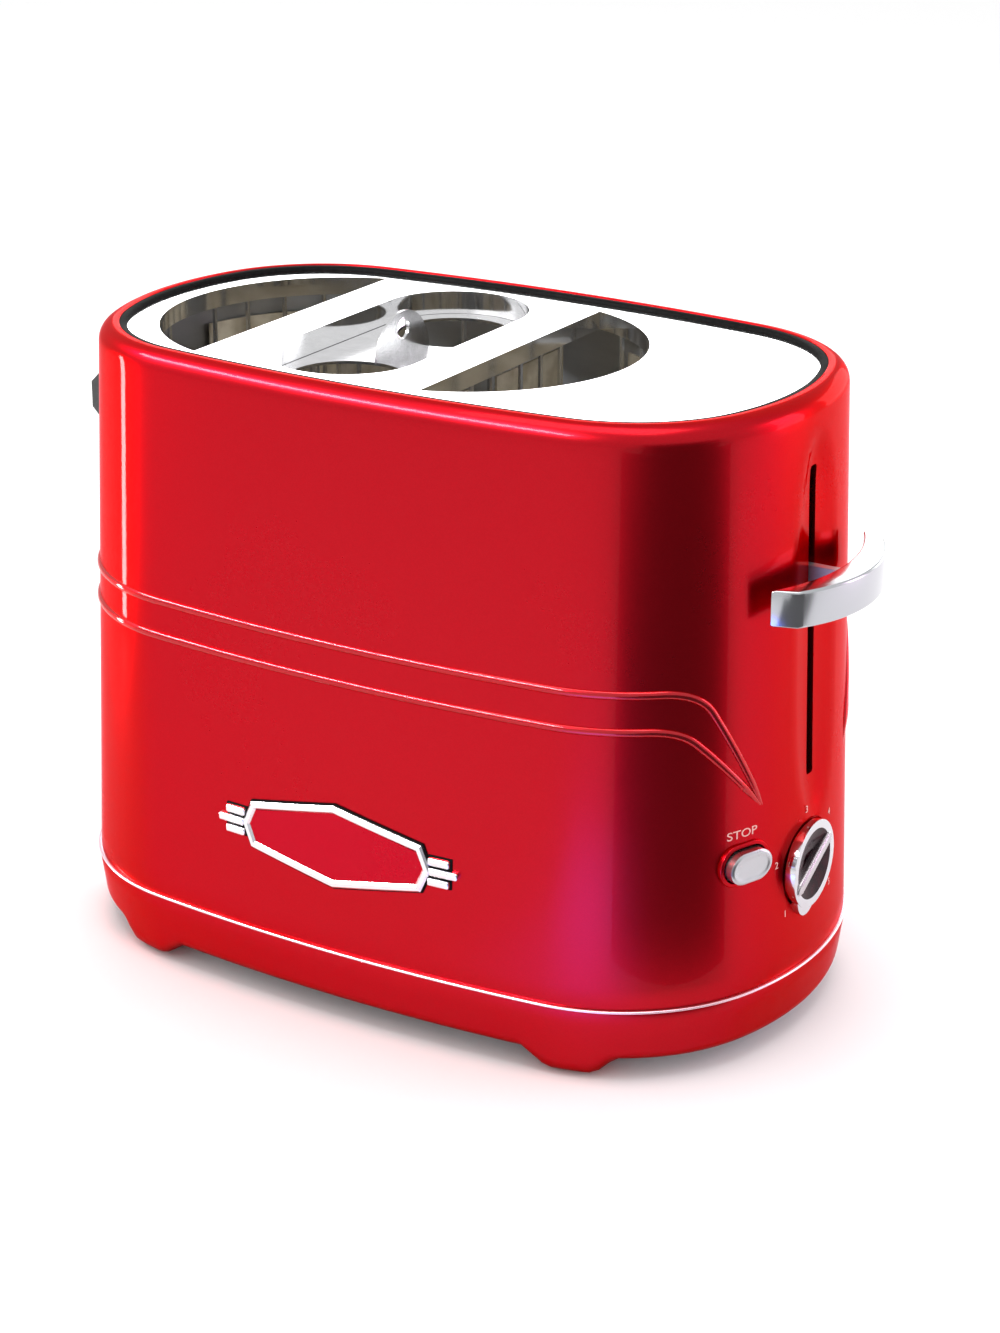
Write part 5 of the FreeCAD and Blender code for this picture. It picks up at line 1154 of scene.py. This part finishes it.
def make_badge_frame():
    """Eight-sided bevelled surround."""
    piece = badge_block("badge_surround", 0.0, BADGE_RISE - 0.7)
    inset_steps((0.6, 0.6), (1.3, 0.1), (0.7, -0.7), (0.3, -0.7))
    bpy.ops.mesh.delete(type="FACE")
    mesh = edit_points(piece)
    backs = [face for face in mesh.faces if len(face.verts) > 8]
    bmesh.ops.delete(mesh, geom=backs, context="FACES_ONLY")
    bmesh.update_edit_mesh(piece.data)
    onto_front(piece)
    return dress(piece, BADGE_CHROME, "chrome_plastic", "toaster", "badge_frame", smooth=20)


def make_badge_bars():
    for side in (-1, 1):
        for row in (-1, 0, 1):
            root = BADGE_SHOULDER + (2.6 if row else 3.0)
            tip = BAR_TIP - (BAR_STEP if row else 0)
            bar = front_block("badge_bar_%d_%d" % (side, row), side, (root, tip), -BADGE_RISE - 0.1,
                              BADGE_Z + row * BAR_PITCH, BAR_HEIGHT / 2, 0.7)
            dress(bar, BADGE_CHROME, "chrome_plastic", "toaster")


# ---------------- studio

MIDDLE = Vector((0.0, 0.0, 0.11))
CAMERA_PLACE = Vector((489.70, -796.66, 464.90))
CAMERA_AZIMUTH = 30.86
CAMERA_ELEVATION = 21.37
CAMERA_ROLL = 0.38
CAMERA_LENS = 105.94
SENSOR_WIDTH = 36.0
FLOOR_SIZE = 12.0
WHITE = (1.0, 1.0, 1.0)
GLOW_STRENGTH = 8.0
FADE_POWER = 1.6
CARD_LIFT = 0.001


def direction(azimuth, elevation):
    """A way out from the toaster: azimuth 0 is in front of the badge, 90 is off the lever end."""
    turn = math.radians(azimuth)
    lift = math.radians(elevation)
    return Vector((math.sin(turn) * math.cos(lift), -math.cos(turn) * math.cos(lift), math.sin(lift)))


def round_about(azimuth, elevation, distance):
    return MIDDLE + distance * direction(azimuth, elevation)


def add_camera():
    """Long lens, a little above the toaster and between its badge and its lever end."""
    azimuth = math.radians(CAMERA_AZIMUTH)
    roll = math.radians(CAMERA_ROLL)
    right = Vector((math.cos(azimuth), math.sin(azimuth), 0))
    back = direction(CAMERA_AZIMUTH, CAMERA_ELEVATION)
    up = back.cross(right)
    rolled_right = right * math.cos(roll) + up * math.sin(roll)
    rolled_up = up * math.cos(roll) - right * math.sin(roll)
    bpy.ops.object.select_all(action="DESELECT")
    bpy.ops.object.camera_add()
    camera = bpy.context.object
    place = (CAMERA_PLACE + Vector((HOUSING_X, 0, 0))) * MM
    turn = Matrix((rolled_right, rolled_up, back)).transposed().to_4x4()
    camera.matrix_world = Matrix.Translation(place) @ turn
    camera.data.sensor_fit = "HORIZONTAL"
    camera.data.sensor_width = SENSOR_WIDTH
    camera.data.lens = CAMERA_LENS
    camera.data.clip_start = 0.01
    bpy.context.scene.camera = camera


def soft_box(name, azimuth, elevation, distance, width, height, radiance, colour=WHITE, lights_floor=True):
    """A box light that faces the toaster."""
    bpy.ops.object.select_all(action="DESELECT")
    bpy.ops.object.light_add(type="AREA", location=round_about(azimuth, elevation, distance))
    lamp = bpy.context.object
    lamp.name = name
    lamp.data.shape = "RECTANGLE"
    lamp.data.size = width
    lamp.data.size_y = height
    lamp.data.energy = radiance * math.pi * width * height
    lamp.data.color = colour
    lamp.visible_diffuse = lights_floor
    lamp.rotation_euler = (MIDDLE - lamp.location).to_track_quat("-Z", "Y").to_euler()
    return lamp


def fade_to_edges(finish):
    """Let a card fade out towards its edges."""
    tree = finish.tree
    split = tree.nodes.new("ShaderNodeSeparateXYZ")
    tree.links.new(finish.place.node.outputs["UV"], split.inputs[0])
    waves = []
    for axis in "XY":
        wave = maths(tree, "SINE", maths(tree, "MULTIPLY", split.outputs[axis], math.pi))
        waves.append(maths(tree, "POWER", wave, FADE_POWER))
    tree.links.new(maths(tree, "MULTIPLY", *waves), finish.shader.inputs["Alpha"])


def studio_card(name, azimuth, distance, width, height, standing, near_share=1.0, glow=None):
    """A dark or glowing card that only shows in reflections, lying on the floor or standing on it."""
    bpy.ops.object.select_all(action="DESELECT")
    place = round_about(azimuth, 0, distance)
    place.z = height / 2 if standing else CARD_LIFT
    bpy.ops.mesh.primitive_plane_add(size=1.0, location=place)
    card = bpy.context.object
    card.name = name
    for vert in card.data.vertices:
        if vert.co.y > 0:
            vert.co.x *= near_share
    card.scale = (width, height, 1)
    card.rotation_euler = (math.pi / 2 if standing else 0, 0, math.radians(azimuth))
    bpy.ops.object.transform_apply(location=True, rotation=True, scale=True)
    velvet = Finish(name + "_velvet", (0.09, 0.09, 0.09), roughness=0.95)
    velvet.handled(0.9, 0.98, 40.0)
    if glow is not None:
        velvet.shader.inputs["Emission Color"].default_value = (*glow, 1.0)
        velvet.shader.inputs["Emission Strength"].default_value = GLOW_STRENGTH
        fade_to_edges(velvet)
    paint(card, velvet.material)
    card.visible_camera = False
    card.visible_diffuse = False
    card.visible_shadow = False
    return card


def add_studio():
    bpy.ops.object.select_all(action="DESELECT")
    bpy.ops.mesh.primitive_plane_add(size=FLOOR_SIZE, location=(0, 0, 0))
    floor = bpy.context.object
    floor.name = "studio_floor"
    pale = Finish("studio_paper", (0.93, 0.93, 0.93), roughness=0.85)
    pale.handled(0.82, 0.88, 3.0)
    paint(floor, pale.material)
    world = bpy.data.worlds.new("studio_room")
    bpy.context.scene.world = world
    world.use_nodes = True
    backdrop = world.node_tree.nodes["Background"]
    backdrop.inputs["Color"].default_value = (*WHITE, 1.0)
    backdrop.inputs["Strength"].default_value = 1.0
    bpy.context.scene.view_settings.view_transform = "Standard"
    soft_box("ceiling_box", 0, 84, 1.7, 1.5, 0.9, 3.0)
    soft_box("shoulder_strip", -42, 42, 1.3, 1.4, 0.16, 55.0, lights_floor=False)
    soft_box("left_strip", -74, 0, 0.45, 0.03, 0.2, 50.0, lights_floor=False)
    soft_box("right_glow", 128, 8, 1.3, 0.35, 0.9, 4.2, (1.0, 0.7, 1.0))
    soft_box("back_right_box", 168, 6, 1.6, 0.9, 0.9, 2.2)
    soft_box("back_left_box", -149, 21, 1.6, 1.0, 0.5, 3.0)
    studio_card("corner_floor_card", 60, 0.67, 1.46, 0.94, False, near_share=0.10)
    studio_card("corner_card", 62, 1.15, 0.95, 0.35, True)
    studio_card("magenta_card", 31, 0.24, 0.24, 0.25, False, near_share=0.7, glow=(0.17, 0.24, 1.0))


# ---------------- build

add_camera()
add_studio()
make_housing()
for bead_name, bead_level, bead_turn_y in (
    ("upper_bead", BEAD_UPPER, BEAD_TURN_Y[0]),
    ("lower_bead", BEAD_UPPER - BEAD_PITCH, BEAD_TURN_Y[1]),
):
    make_bead(bead_name, bead_level, bead_turn_y)
make_gasket()
make_base()
make_seam_line()
make_lever()
make_dial()
make_stop_button()
make_button_lip()
make_dial_numbers()
make_stop_word()
make_badge_backing()
make_badge_frame()
make_badge_bars()
